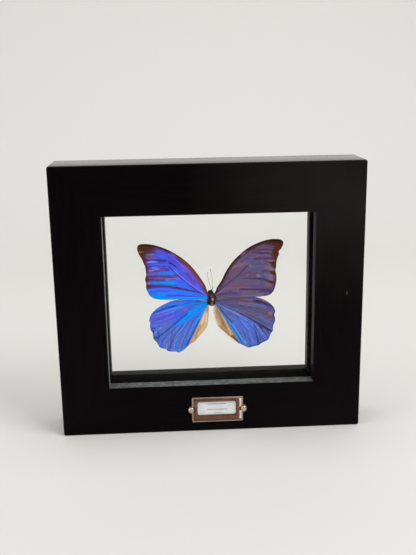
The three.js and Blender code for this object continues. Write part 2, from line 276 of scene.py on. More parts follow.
railSpec = {
    "lip": 10.7, "groove": 20.0, "grooveDepth": 5.0, "outerEase": 0.9, "innerEase": 0.45,
    "corner": 1.8, "grainAlong": 0.02, "grainAcross": 1.1, "coat": (5, 3, 4), "wearAndSheen": (46, 42, 40),
    "dustAndSheen": (142, 146, 144), "edgeWear": 0.8,
    "lipSheen": {"rail_bottom": (0.55, 0.03), "rail_left": (0.8, 0.06), "rail_top": (0.02, 0.01),
                "rail_right": (0.015, 0.01)},
    "topSheen": 0.12, "scratch": (111.6, 117.4, 0.22, 1.3), "scratchTone": 0.45,
    "sheenAcross": (-0.02, 0.09), "sheenUp": (0.1, 0.21),
}


def makeLacquer(name, spec, roughness, density, gloss):
    material, tree, shader = newMaterial(name, Specular_Tint=(0.02, 0.02, 0.02, 1), IOR=density,
                                         Specular_IOR_Level=gloss)
    pull = (spec["grainAlong"], spec["grainAcross"], spec["grainAcross"])
    fibre = stretched(tree, attributeOf(tree, "grainAt", "Vector"), pull)
    lines = noiseOf(tree, fibre, 1.6, 5.0)
    pores = noiseOf(tree, fibre, 5.0, 3.0)
    place = objectPlace(tree)
    clouds = addNoise(tree, place, 14.0, 900.0, 0.12)

    # wear on the arrises, a painted sheen of reflected light at the upper right, specks and one short scratch
    parts = addNode(tree, "SeparateXYZ", {"Vector": place}).outputs
    tone = mapRange(tree, lines, 0.35, 0.75, 0.0, 0.1)
    wear = multiply(tree, attributeOf(tree, "edgeWear", "Fac"), clouds["Fine"])
    # painted reflection: the coat is lightened towards the upper right of the front
    paintedSheen = multiply(tree, mapRange(tree, parts["X"], *spec["sheenAcross"], 0.0, 1.0),
                    mapRange(tree, parts["Z"], *spec["sheenUp"], 0.03, 0.5))
    paintedSheen = multiply(tree, paintedSheen, mapRange(tree, clouds["Broad"], 0.3, 0.7, 0.5, 1.3))
    specks = mapRange(tree, cellsOf(tree, place, 42.0), 0.008, 0.016, 0.5, 0.0)
    shade = add(tree, add(tree, tone, wear), add(tree, paintedSheen, specks))
    colour = mixColour(tree, shade, rgba(spec["coat"]), rgba(spec["wearAndSheen"]))
    # painted sheen on the inner lips and the top face, mottled like dust; the scratch takes the same light
    # grey
    dustAndSheen = multiply(tree, attributeOf(tree, "dustAndSheen", "Fac"), mapRange(tree, lines, 0.38, 0.62, 0.35, 1.1))
    mottle = noiseOf(tree, place, 300.0, 3.0)
    dustAndSheen = multiply(tree, dustAndSheen, mapRange(tree, mottle, 0.35, 0.65, 0.65, 1.35))
    scratchX, scratchZ, half, reach = (value * mm for value in spec["scratch"])
    across = calculate(tree, "COMPARE", parts["X"], scratchX, half)
    along = calculate(tree, "COMPARE", parts["Z"], scratchZ, reach)
    scratch = multiply(tree, multiply(tree, across, along), spec["scratchTone"])
    connect(tree, shader, Roughness=mapRange(tree, clouds["Broad"], 0.3, 0.7, *roughness),
            Base_Color=mixColour(tree, add(tree, dustAndSheen, scratch), colour, rgba(spec["dustAndSheen"])),
            Normal=bumpOf(tree, pores, 0.00008, 0.35, Normal=clouds["Normal"]))
    return material


lacquers = [makeLacquer("blackLacquer", railSpec, (0.12, 0.19), 1.8, 0.5),
            makeLacquer("innerLacquer", railSpec, (0.4, 0.5), 1.3, 0.1)]


def roundCorner(v, length, width, radius):
    across = abs(v.co.x) - (length / 2 - radius)
    out = -v.co.z - (width - radius)
    if across > 0 and out > 0:
        shrink = max(across, out) / math.hypot(across, out)
        v.co.x = math.copysign(length / 2 - radius + across * shrink, v.co.x)
        v.co.z = -(width - radius + out * shrink)


# a rail lies along x with its inner face at z = 0 until it is turned into place
def makeRail(name, width, insets, across):
    low, high = boxMm(name)
    spec = railSpec
    front, back = low.y, high.y
    grooveFront = front + spec["lip"]
    grooveBack = grooveFront + spec["groove"]
    deep = spec["grooveDepth"]
    section = [(front, 0), (front, width), (back, width), (back, 0),
               (grooveBack, 0), (grooveBack, deep), (grooveFront, deep), (grooveFront, 0)]
    length = frameSize[0] if across else frameSize[2]
    bm = bmesh.new()
    face = bm.faces.new([bm.verts.new((-length / 2, y, -out)) for y, out in section])
    made = bmesh.ops.extrude_face_region(bm, geom=[face])["geom"]
    far = [v for v in made if isinstance(v, bmesh.types.BMVert)]
    bmesh.ops.translate(bm, vec=(length, 0, 0), verts=far)
    bmesh.ops.recalc_face_normals(bm, faces=bm.faces)

    def longEdges(out):
        return [e for e in bm.edges if all(abs(v.co.z + out) < 1e-4 and
                min(abs(v.co.y - y) for y in (front, back)) < 1e-4 for v in e.verts)
                and abs(e.verts[0].co.x - e.verts[1].co.x) > 1]
    for out, ease in ((width, spec["outerEase"]), (0, spec["innerEase"])):
        bmesh.ops.bevel(bm, geom=longEdges(out), offset=ease, segments=4, profile=0.5, affect="EDGES",
                        material=-1)
    for v in bm.verts:  # mitres
        end = 1 if v.co.x > 0 else -1
        v.co.x = end * (length / 2 - insets[end > 0] * (1 + v.co.z / width))
    for place in (end * (length / 2 - spec["corner"] * step / 4) for end in (-1, 1) for step in (1, 2, 3, 4)):
        bmesh.ops.bisect_plane(bm, geom=bm.verts[:] + bm.edges[:] + bm.faces[:],
                               plane_co=(place, 0, 0), plane_no=(1, 0, 0))
    grain = bm.verts.layers.float_vector.new("grainAt")
    wear, dustAndSheen = (bm.verts.layers.float.new(label) for label in ("edgeWear", "dustAndSheen"))
    offset = Vector((random.uniform(-500, 500), random.uniform(-50, 50), 0))
    frontSheen, backSheen = spec["lipSheen"][name]
    for v in bm.verts:
        v[grain] = v.co + offset
        ease = spec["innerEase"] if v.co.z > -width / 2 else spec["outerEase"]
        away = (min(abs(v.co.y - front), abs(v.co.y - back)), min(abs(v.co.z), abs(v.co.z + width)))
        v[wear] = spec["edgeWear"] if min(away) > 0.03 and max(away) < ease - 0.03 else 0.0
        # painted sheen on the inner lips and on the top face of the top rail
        v[dustAndSheen] = (v.co.z > -0.02) * (frontSheen if v.co.y < 0 else backSheen)
        v[dustAndSheen] += spec["topSheen"] * (name == "rail_top" and v.co.z < 0.02 - width)
        roundCorner(v, length, width, spec["corner"])
    for face in bm.faces:
        face.material_index = int(face.calc_center_median().z > -0.02)
    turn, inner = {"rail_bottom": (0, (0, 0, high.z)), "rail_left": (90, (high.x, 0, frameSize[2] / 2)),
                   "rail_top": (180, (0, 0, low.z)), "rail_right": (-90, (low.x, 0, frameSize[2] / 2))}[name]
    place = Matrix.Translation(inner) @ Matrix.Rotation(math.radians(turn), 4, "Y")
    makePiece(name.replace("_", "") + "Lacquered", bm, lacquers, (name,), place=place)


random.seed(4)
frameSize = [(cadBox[1][axis] - cadBox[0][axis]) / mm for axis in range(3)]
sideWidth = boxMm("rail_left")[1].x - boxMm("rail_left")[0].x
bottomWidth = boxMm("rail_bottom")[1].z
topWidth = frameSize[2] - boxMm("rail_top")[0].z
makeRail("rail_bottom", bottomWidth, (sideWidth, sideWidth), True)
makeRail("rail_top", topWidth, (sideWidth, sideWidth), True)
makeRail("rail_left", sideWidth, (topWidth, bottomWidth), False)
makeRail("rail_right", sideWidth, (bottomWidth, topWidth), False)
print("rails made")


# glass and spacers

def makeGlass():
    material, tree, shader = newMaterial(
        "clearGlass", Base_Color=(0.985, 0.995, 0.99, 1), Transmission_Weight=1.0, IOR=1.5,
        Roughness=0.0, Specular_Tint=(0.06, 0.06, 0.06, 1))
    smears = addNoise(tree, objectPlace(tree), 8.0, 60.0, 0.0)["Broad"]
    connect(tree, shader, Roughness=mapRange(tree, smears, 0.45, 0.8, 0.0, 0.012))
    return material


def makeSpacerBoard():
    material, tree, shader = newMaterial("spacerBoard", IOR=1.05, Specular_IOR_Level=0.02)
    grain = addNoise(tree, objectPlace(tree), 40.0, 1500.0, 0.3)
    connect(tree, shader, Base_Color=mixColour(tree, grain["Fine"], rgba((8, 8, 8)), rgba((24, 22, 21))),
            Roughness=mapRange(tree, grain["Broad"], 0.2, 0.8, 0.7, 0.95), Normal=grain["Normal"])
    return material


glass = makeGlass()
for pane in ("glass_front", "glass_back"):
    dress(pane, glass).visible_shadow = False
board = makeSpacerBoard()
for side in ("top", "bottom", "left", "right"):
    dress("spacer_" + side, board)
print("glass and spacers dressed")


# label holder: steps are (inset, rise) from the rim inwards; tones paint shade and highlight by the distance
# from the rim

holderSpec = {
    "corner": 1.2, "sheet": 0.55, "base": 0.56, "nailOut": 0.6, "cuts": 27, "edge": 0.1,
    "steps": [(1.0, 0.05), (0.2, 0.12), (1.5, 1.05), (0.25, 0.12), (1.35, 0.03), (0.2, -0.1),
              (0.8, -0.75)],
    "shift": (-0.7, 1.3), "slope": (1.1, 2.9), "slopeGap": (1.6, 1.3),
    # tone 0 is painted shade and 1 a painted highlight; the lower band has its own painted shadow
    "lightAndShadeTones": ((0, 1, 1.3, 2.7, 4.3, 5.3), (0.82, 0.6, 0.02, 0.42, 0.5, 0.3)),
    "lowerLightAndShadeTones": ((0, 1, 1.2, 2.7, 2.95, 4.3, 5.3), (0.95, 0.1, 0.3, 0.02, 0.3, 0.5, 0.3)),
    "earHalf": 3.5, "earReach": 3.3, "earHeight": 0.55, "dimple": 2.9, "dimpleSlope": 2.2,
    "metal": (150, 114, 92), "dark": (120, 88, 68), "creaseShade": (58, 40, 30), "rim": (216, 196, 180),
    "bright": (255, 255, 255), "wearAndSheen": (232, 222, 208),
}
nailSpec = {"radius": 2.65, "rise": 1.75, "seat": 0.85, "shank": 0.7, "deep": 5.5,
            "bright": (226, 212, 198), "dark": (150, 132, 116)}
cardSpec = {
    "rule": (58, 58, 64), "paper": (236, 236, 238), "aged": (224, 224, 226),
    "rows": [(4.3, 7.9, 0.24), (-0.7, 8.6, 0.24), (-3.6, 2.6, 0.13)],
}


def makeNickel(name, bright, dark, roughness, stamped=None):
    material, tree, shader = newMaterial(name, Metallic=1.0)
    stains = addNoise(tree, objectPlace(tree), 160.0, 2400.0, 0.08)
    colour = mixColour(tree, mapRange(tree, stains["Broad"], 0.25, 0.8, 0.0, 1.0), rgba(bright), rgba(dark))
    if stamped:  # painted shade darkens the creases and a painted highlight lightens the rim
        tone = attributeOf(tree, "tone", "Fac")
        colour = mixColour(tree, mapRange(tree, tone, 0.0, 0.5, 1.0, 0.0), colour, rgba(stamped["creaseShade"]))
        colour = mixColour(tree, mapRange(tree, tone, 0.5, 1.0, 0.0, 1.0), colour, rgba(stamped["rim"]))
    connect(tree, shader, Base_Color=colour, Normal=stains["Normal"],
            Roughness=mapRange(tree, stains["Fine"], 0.3, 0.7, *roughness))
    return material


def nailCentres():
    boxes = [boxMm(node) for node in ("nail_left", "nail_right")]
    return [((low.x + high.x) / 2, (low.z + high.z) / 2) for low, high in boxes]


def makeHolder(spec, materials):
    low, high = boxMm("label_holder")
    (leftNail, nailZ), (rightNail, _) = nailCentres()
    centre = Vector(((leftNail + rightNail) / 2, railFace, nailZ))
    width = rightNail - leftNail - 2 * spec["nailOut"]
    height = high.z - low.z
    deepest = sum(inset for inset, _ in spec["steps"])
    bm = bmesh.new()
    bmesh.ops.create_grid(bm, x_segments=1, y_segments=1, size=0.5)
    bmesh.ops.scale(bm, vec=(width, height, 1), verts=bm.verts)
    bmesh.ops.translate(bm, vec=(0, 0, spec["base"]), verts=bm.verts)
    window = bm.faces[:][0]
    for inset, rise in spec["steps"]:
        bmesh.ops.inset_individual(bm, faces=[window], thickness=inset, use_even_offset=True)
        shift = [amount * inset / deepest for amount in spec["shift"]]
        bmesh.ops.translate(bm, vec=(*shift, rise), verts=window.verts)
    bmesh.ops.delete(bm, geom=[window], context="FACES")
    corners = [e for e in bm.edges if min(abs(e.verts[0].co.x - e.verts[1].co.x),
                                          abs(e.verts[0].co.y - e.verts[1].co.y)) > 0.02]
    bmesh.ops.bevel(bm, geom=corners, offset=spec["corner"], segments=3, profile=0.5,
                    affect="EDGES", material=-1)
    bmesh.ops.remove_doubles(bm, verts=bm.verts, dist=0.01)
    for v in bm.verts:  # the plate's own corners are sharper than the band's
        across, up = abs(v.co.x) - width / 2 + spec["corner"], abs(v.co.y) - height / 2 + spec["corner"]
        if v.co.z < spec["base"] + 0.01 and min(across, up) > 0.01:
            v.co.x += math.copysign(min(0.3 * across, spec["corner"] - across), v.co.x)
            v.co.y += math.copysign(min(0.3 * up, spec["corner"] - up), v.co.y)
    ends = [e for e in bm.edges if abs(e.verts[0].co.x - e.verts[1].co.x) < 0.5
            and e.calc_length() > spec["earHalf"]]
    bmesh.ops.subdivide_edges(bm, edges=ends, cuts=spec["cuts"], use_grid_fill=True)
    nearest, farthest = spec["slopeGap"]
    for face in bm.faces:  # the outer slope on the right carries a painted highlight in white metal
        middle = face.calc_center_median()
        highlighted = spec["slope"][0] < width / 2 - middle.x < spec["slope"][1]
        face.material_index = int(highlighted and nearest < abs(middle.y) < height / 2 - farthest)
    # painted light: dark lines of shade in the creases, light lines of highlight on the rim, and painted
    # shadow along the lower edge
    tone = bm.verts.layers.float.new("tone")
    for v in bm.verts:
        inward = (width / 2 - abs(v.co.x), height / 2 - abs(v.co.y))
        lower = v.co.y < 0 and inward[1] < inward[0] + 0.1
        v[tone] = np.interp(min(inward), *spec["lowerLightAndShadeTones" if lower else "lightAndShadeTones"])
    for v in bm.verts:  # the band is pressed in beside each nail
        for x in (leftNail - centre.x, rightNail - centre.x):
            out = max(0, math.hypot(v.co.x - x, v.co.y) - spec["dimple"])
            v.co.z = min(v.co.z, spec["base"] + 0.05 + spec["dimpleSlope"] * out)
    for side in (-1, 1):
        ear = bmesh.ops.create_circle(bm, cap_ends=True, segments=40, radius=1)["verts"]
        bmesh.ops.scale(bm, vec=(spec["earReach"], spec["earHalf"], 1), verts=ear)
        bmesh.ops.translate(bm, vec=(side * width / 2, 0, spec["earHeight"]), verts=ear)
        for v in ear:
            v[tone] = 0.5
    bm.normal_update()
    bmesh.ops.reverse_faces(bm, faces=[face for face in bm.faces if face.normal.z < 0])
    place = Matrix.Translation(centre) @ quarterTurn
    piece = makePiece("labelHolder", bm, materials, ("label_holder",), 30, place)
    addModifier(piece, "SOLIDIFY", thickness=spec["sheet"] * mm, offset=-1)
    addModifier(piece, "BEVEL", width=spec["edge"] * mm, segments=2, limit_method="ANGLE",
                angle_limit=math.radians(24))


def makeNail(name, node, centre, spec, material):
    outline = [(0, spec["seat"] + spec["rise"])]
    for step in range(1, 9):
        angle = math.radians(90 - 90 * step / 8)
        outline.append((spec["radius"] * math.cos(angle), spec["seat"] + spec["rise"] * math.sin(angle)))
    outline += [(spec["radius"] * 0.96, spec["seat"] - 0.18), (spec["shank"], spec["seat"] - 0.2),
                (spec["shank"], -spec["deep"]), (0, -spec["deep"] - 1.5)]
    bm = spinAround([(radius, 0, height) for radius, height in outline], (0, 0, 1), 36)
    x, z = centre
    place = Matrix.Translation((x, railFace, z)) @ quarterTurn
    makePiece(name, bm, [material], (node,), 50, place)


def makeCardPaper(spec):
    low, high = boxMm("label_card")
    middle = (low + high) / 2
    material, tree, shader = newMaterial("cardPaper", Specular_IOR_Level=0.2)
    place = objectPlace(tree)
    fibres = addNoise(tree, place, 120.0, 3000.0, 0.25)
    parts = addNode(tree, "SeparateXYZ", {"Vector": place}).outputs
    rules = []
    for height, half, thick in spec["rows"]:
        row = calculate(tree, "COMPARE", parts["Z"], (middle.z + height) * mm, thick * mm)
        run = calculate(tree, "COMPARE", parts["X"], middle.x * mm, half * mm)
        rules.append(multiply(tree, row, run))
    rule = calculate(tree, "MAXIMUM", calculate(tree, "MAXIMUM", rules[0], rules[1]), rules[2])
    printed = multiply(tree, rule, mapRange(tree, fibres["Fine"], 0.3, 0.6, 0.6, 0.95))
    paper = mixColour(tree, mapRange(tree, fibres["Broad"], 0.3, 0.7, 0.0, 1.0), rgba(spec["paper"]),
                      rgba(spec["aged"]))
    connect(tree, shader, Base_Color=mixColour(tree, printed, paper, rgba(spec["rule"])),
            Roughness=mapRange(tree, fibres["Fine"], 0.2, 0.8, 0.7, 0.9), Normal=fibres["Normal"])
    return material


railFace = boxMm("rail_bottom")[0].y
holderMetal = makeNickel("holderNickel", holderSpec["metal"], holderSpec["dark"], (0.2, 0.3), holderSpec)
# white metal that paints the highlight on the right outer slope
highlightMetal = makeNickel("highlightNickel", holderSpec["bright"], holderSpec["wearAndSheen"], (0.12, 0.2))
nailMetal = makeNickel("nailNickel", nailSpec["bright"], nailSpec["dark"], (0.1, 0.18))
makeHolder(holderSpec, [holderMetal, highlightMetal])
leftCentre, rightCentre = nailCentres()
makeNail("nailLeft", "nail_left", leftCentre, nailSpec, nailMetal)
makeNail("nailRight", "nail_right", rightCentre, nailSpec, nailMetal)
dress("label_card", makeCardPaper(cardSpec))
print("label made")


# wings, seen from the front: every point is (x, z) in mm, and streaks are (share, fineness, seed)

wingSpec = {
    "columns": 400, "rows": 84, "gather": 0.85, "thickness": 0.22, "rise": 1.2, "reach": 60, "pleat": 0.2,
    "foldSlope": 0.5, "ridge": 0.1, "ridgeWidth": 0.32, "bodyX": 1.9, "veinWidth": 0.42, "veinTone": 0.35,
    "veinTint": (0.35, 0.45, 0.2), "foldEdge": 0.7, "flowScale": 0.045, "flowStart": 0.4,
    "flowStretch": (22, 0.09), "wobble": 16, "streaks": [(0.55, 34, 7), (1, 15, 3)], "shimmerGain": 0.7,
}
strokeEdge = {"wobble": 0.55, "full": 1.25, "fade": 1.1}

# screen colours of the scales as lit: glint paints small highlights, the pale violet-grey ink and the fold
# cream paint sheen, and the dull violets and greys paint shade on the right wings
ink = {
    "azure": (6, 150, 255), "sky": (48, 126, 255), "blue": (60, 106, 252), "cobalt": (78, 84, 234),
    "violet": (102, 84, 216), "lilac": (144, 116, 226), "plum": (78, 50, 136), "mauve": (124, 86, 152),
    "mark": (26, 24, 92), "glint": (126, 160, 255), "brown": (88, 43, 20), "rust": (128, 62, 30),
    "soot": (52, 24, 12), "umber": (84, 42, 22), "dusk": (106, 82, 116), "heather": (118, 86, 116),
    "slate": (94, 92, 132), "grape": (74, 52, 88), "rose": (154, 110, 128), "steel": (88, 86, 126),
    "paintedSheen": (134, 118, 150), "indigo": (90, 82, 142), "iris": (88, 116, 204), "cyan": (72, 172, 250),
    "mist": (92, 136, 224), "denim": (40, 60, 146), "shade": (70, 48, 84), "tan": (218, 178, 132),
    "foldSheen": (255, 226, 202), "sand": (242, 202, 152), "toffee": (180, 134, 86), "amber": (240, 154, 76),
    "chestnut": (146, 84, 30), "bark": (158, 102, 68),
}

# strokes are (colour, width, strength, path), painted in this order over the field colour

leftForewing = {
    "root": (-2.6, 113.3), "veins": 11, "depth": -1.75, "side": -1, "field": "violet", "bend": 27,
    "shimmer": ("azure", "violet", 0.32),
    "outline": [
        (-0.6, 115.2), (-1.7, 117.2), (-2.9, 121.4), (-5.2, 125.7), (-9.8, 133), (-15, 139.8),
        (-19.8, 144.4), (-24.8, 148.4), (-29.8, 151.6), (-34.8, 154.4), (-40.7, 156.8), (-47.3, 158.6),
        (-52.8, 159.2), (-56.9, 158.6), (-58.4, 155.3), (-57.1, 150.6), (-55, 146.9), (-54, 144),
        (-52.5, 140.3), (-51.9, 135.3), (-51.9, 132.8), (-52.8, 129.4), (-52.1, 126), (-52.2, 121.9),
        (-51.1, 118.8), (-49.4, 115.5), (-46.1, 112.9), (-41.1, 111.6), (-34.8, 111.1), (-25, 111.1),
        (-14, 110.9), (-5, 110.2), (-0.6, 110),
    ],
    "ridges": [
        [(-2.6, 116), (-6, 124.5), (-13, 134.5), (-21, 142.5), (-29, 148.8)],
        [(-2.9, 115.4), (-9, 124.5), (-18, 135), (-26, 143), (-38, 152.5), (-50, 157.5)],
        [(-26, 143), (-40, 151), (-56.5, 152.5)],
        [(-29, 144), (-43, 148.6), (-55, 146.8)],
        [(-33, 142.8), (-42, 144.4), (-53.5, 142.4)],
        [(-32.5, 139.5), (-42, 138.3), (-52.2, 137)],
        [(-26, 132.6), (-38, 130.9), (-52.3, 130.2)],
        [(-10, 117.6), (-20, 119.6), (-28, 121.3), (-36, 122.9), (-52, 122.2)],
        [(-3, 112.9), (-15, 114), (-30, 115), (-49.5, 116.6)],
        [(-3, 114), (-10, 118.7), (-17, 124.7), (-25, 131.7), (-33, 139.5), (-29, 144)],
    ],
}
leftForewing["strokes"] = [
    ("cobalt", 7, 0.6, [(-12, 122), (-24, 134), (-34, 146)]),
    ("lilac", 4.5, 0.32, [(-8, 124), (-15, 133), (-21, 139.5)]),
    ("plum", 2.2, 0.4, [(-12, 126), (-18, 133.5)]),
    ("violet", 5, 0.8, [(-30, 148), (-40, 153)]),
    ("blue", 2.6, 0.8, [(-45, 147.6), (-40, 148), (-33, 146.6)]),
    ("blue", 3.4, 0.8, [(-44, 141), (-34, 141.4)]),
    ("sky", 4.2, 0.9, [(-42, 133.4), (-36, 134.2), (-29, 134.2)]),
    ("mauve", 4.4, 0.85, [(-52, 130), (-44, 129.6), (-34, 129.2), (-28, 129.6)]),
    ("plum", 1, 0.5, [(-50, 131.6), (-40, 131.4), (-27, 131.6)]),
    ("mauve", 2.2, 0.5, [(-51, 135), (-45, 134.4)]),
    ("sky", 2.5, 1, [(-47, 125.4), (-38, 126.2), (-29, 125), (-20, 124)]),
    ("azure", 1.6, 0.8, [(-38, 125), (-27, 124.6)]),
    ("blue", 3.4, 0.8, [(-28, 128), (-18, 122), (-8, 116.6)]),
    ("blue", 4.6, 1, [(-51, 119), (-36, 118.4), (-20, 116.2), (-5, 113.6)]),
    ("sky", 2.6, 0.9, [(-48, 117.4), (-30, 116.6), (-16, 115.6)]),
    ("cobalt", 1.8, 0.9, [(-48.5, 117.6), (-42, 119.4), (-34, 118.8)]),
    ("cobalt", 0.9, 0.6, [(-38, 116.2), (-26, 115.4), (-12, 114.4)]),
    ("azure", 1.9, 1, [(-48.5, 115.4), (-40, 115.4), (-28, 116.8)]),
    ("azure", 2.4, 1, [(-44, 113.4), (-34, 112.6), (-22, 112.4), (-10, 112.2), (-3, 111.8)]),
    ("cobalt", 0.9, 0.5, [(-36, 114), (-24, 113.9), (-12, 113.4)]),
    ("plum", 1, 0.8, [(-9, 116.8), (-20, 119.6), (-28, 121.3), (-36, 122.9), (-51, 122.2)]),
    ("mauve", 1.8, 0.6, [(-42, 123.6), (-51.5, 123)]),
    ("plum", 1.5, 0.8, [(-51, 139.2), (-42, 138), (-34, 136.6)]),
    ("mauve", 1.4, 0.6, [(-50, 136), (-42, 135.8)]),
    ("glint", 0.9, 0.9, [(-50, 136.2), (-46, 136.6)]),
    ("glint", 1, 0.8, [(-46.5, 139.2), (-41, 137.8)]),
    ("plum", 1.6, 0.8, [(-52, 145.6), (-44, 145.4), (-36, 144.6)]),
    ("glint", 1.1, 0.8, [(-49.5, 144), (-44, 143.6)]),
    ("mauve", 2, 0.6, [(-51, 148.4), (-46, 148)]),
    ("glint", 1.3, 0.6, [(-50, 150.4), (-46, 150.2)]),
    ("glint", 1.2, 0.8, [(-51.4, 126.8), (-50, 126.2)]),
    ("mark", 0.6, 0.7, [(-33, 142.8), (-30.5, 142), (-27.6, 139.8)]),
    ("lilac", 0.6, 0.4, [(-7, 121.5), (-12.5, 131), (-19, 138.6)]),
    ("plum", 0.6, 0.6, [(-5.8, 120.5), (-12, 131.4), (-19, 139.8), (-28, 147.6)]),
    ("lilac", 0.8, 0.6, [(-50.1, 149.6), (-47.2, 150.4), (-44.4, 149.6)]),
    ("paintedSheen", 1, 0.5, [(-51.4, 147.5), (-47.4, 147), (-43.7, 147.4)]),
    ("blue", 2, 0.6, [(-42.8, 148.2), (-34.3, 147.1)]),
    ("plum", 0.7, 0.8, [(-49.9, 145.1), (-42.5, 145.4), (-34.3, 144.6), (-31.9, 143.1)]),
    ("glint", 0.7, 0.7, [(-49.9, 143.8), (-46.6, 144.4), (-42.1, 144)]),
    ("plum", 0.55, 0.6, [(-49.6, 142.6), (-44.2, 142.9), (-36.9, 142.5)]),
    ("blue", 1.1, 0.7, [(-46.7, 141.9), (-40.2, 141.9), (-34.4, 141.2)]),
    ("plum", 0.6, 0.7, [(-49.6, 140.3), (-43.5, 140.8), (-36.1, 139.9)]),
    ("lilac", 0.7, 0.6, [(-49.3, 138.3), (-45.2, 139.2), (-40.7, 137.8)]),
    ("glint", 0.6, 0.8, [(-48.5, 136.5), (-45.2, 137.2), (-41.9, 137.7)]),
    ("mauve", 1, 0.7, [(-41.1, 137.7), (-37, 136.7)]),
    ("plum", 0.6, 0.7, [(-50.2, 135.6), (-46.1, 135.8), (-40.3, 136.2)]),
    ("mauve", 1.3, 0.6, [(-50.2, 134.1), (-45.3, 133.6), (-42.5, 133.8)]),
    ("plum", 0.7, 0.9, [(-50.3, 131.9), (-40.5, 132), (-34.7, 131), (-29, 130.3)]),
    ("grape", 0.9, 0.7, [(-49.6, 129.1), (-43.9, 128.6), (-37.3, 127.9)]),
    ("lilac", 0.8, 0.7, [(-35.6, 129), (-29, 129.6), (-24.5, 128.4)]),
    ("glint", 0.6, 0.7, [(-51.5, 126), (-49.7, 125.2)]),
    ("azure", 1.1, 0.8, [(-46.4, 126), (-37.4, 126), (-29.1, 125.3)]),
    ("plum", 0.5, 0.6, [(-48.9, 124.5), (-37.4, 124.4), (-26.7, 123.5)]),
    ("plum", 0.9, 0.7, [(-49.8, 123), (-41.6, 123), (-35, 122.6)]),
    ("grape", 0.7, 0.9, [(-35, 122.6), (-27.5, 121.8), (-21, 119.9), (-12.7, 117.7), (-7.7, 116.5)]),
    ("sky", 1.3, 0.9, [(-49.9, 120.1), (-41.6, 120.5), (-33.4, 119.7), (-25.2, 118.2), (-17.7, 116.5)]),
    ("cobalt", 0.9, 0.8, [(-48.8, 117.6), (-45.8, 119.1), (-40.9, 119.2), (-35.9, 118.2)]),
    ("azure", 1.6, 1, [(-48.2, 116.1), (-43.5, 114.7), (-36.8, 114.9)]),
    ("cobalt", 0.55, 0.8, [(-35.2, 116), (-25.2, 115), (-16.1, 113.7), (-4.4, 112.4)]),
    ("blue", 0.6, 0.7, [(-32.6, 117.2), (-23.5, 116), (-12.8, 114.6)]),
    ("azure", 1.3, 1, [(-45.6, 113), (-36.1, 112), (-27.8, 111.5)]),
    ("azure", 1.2, 1, [(-27, 112.5), (-16.1, 112.1), (-4, 111.2)]),
    ("plum", 0.5, 0.8, [(-32.4, 153.4), (-26, 148.2), (-18.8, 141.2), (-13.2, 132.5), (-8.4, 124.6),
                        (-3.9, 117.5)]),
    ("paintedSheen", 0.9, 0.6, [(-29.1, 150), (-24.4, 146.4)]),
    ("mauve", 1.6, 0.45, [(-20.5, 140), (-15.7, 134.3), (-11.6, 128.1)]),
    ("lilac", 0.6, 0.4, [(-26.1, 144.4), (-20.5, 138.7), (-15.7, 132.1), (-10.9, 125.5)]),
    ("glint", 0.45, 0.8, [(-28.8, 136.2), (-22.4, 130), (-15.9, 124.3), (-9.3, 119.3), (-3.1, 114.5)]),
    ("plum", 0.45, 0.9, [(-33.2, 139.5), (-28.8, 134.9), (-24.8, 130.7), (-19.2, 125.3), (-12.6, 119.8),
                         (-4.4, 113.9)]),
    ("mark", 0.5, 0.9, [(-32.6, 142.3), (-29.9, 141.4), (-27.1, 138.5)]),
    ("brown", 8, 0.9, [(-49, 156.6), (-58, 154)]),
    ("brown", 4.2, 0.9, [(-56.4, 155), (-55.4, 150), (-54, 146)]),
    ("umber", 2.2, 0.95, [(-58, 152), (-54.8, 146), (-52.6, 140.2), (-51.6, 135.4)]),
    ("brown", 2.4, 0.9, [(-53.4, 141), (-51.8, 138.6)]),
    ("umber", 2.6, 1, [(-52.6, 131.4), (-53.2, 129.4), (-52.2, 127.8)]),
    ("brown", 2.4, 0.95, [(-52.8, 123.6), (-50.8, 123)]),
    ("soot", 2.6, 1, [(-58, 158.4), (-52.8, 159.3), (-47.3, 158.7), (-38, 156), (-32, 153)]),
    ("rust", 2.1, 1, [(-2, 116), (-3.4, 121.2), (-5.8, 125.4), (-10.2, 132.6), (-15.6, 139.4), (-20.4, 144),
                      (-25, 147.8)]),
    ("umber", 0.8, 0.8, [(-2.9, 121.4), (-5.2, 125.7), (-9.8, 133), (-15, 139.8), (-22, 146.2)]),
    ("soot", 1.1, 1, [(-20, 144.8), (-24.8, 148.4), (-29.8, 151.7), (-34.8, 154.5)]),
    ("rust", 1.6, 0.5, [(-56.8, 156), (-56, 152.4)]),
    ("tan", 0.4, 0.95, [(-58, 152.2), (-54.4, 152.6)]),
]

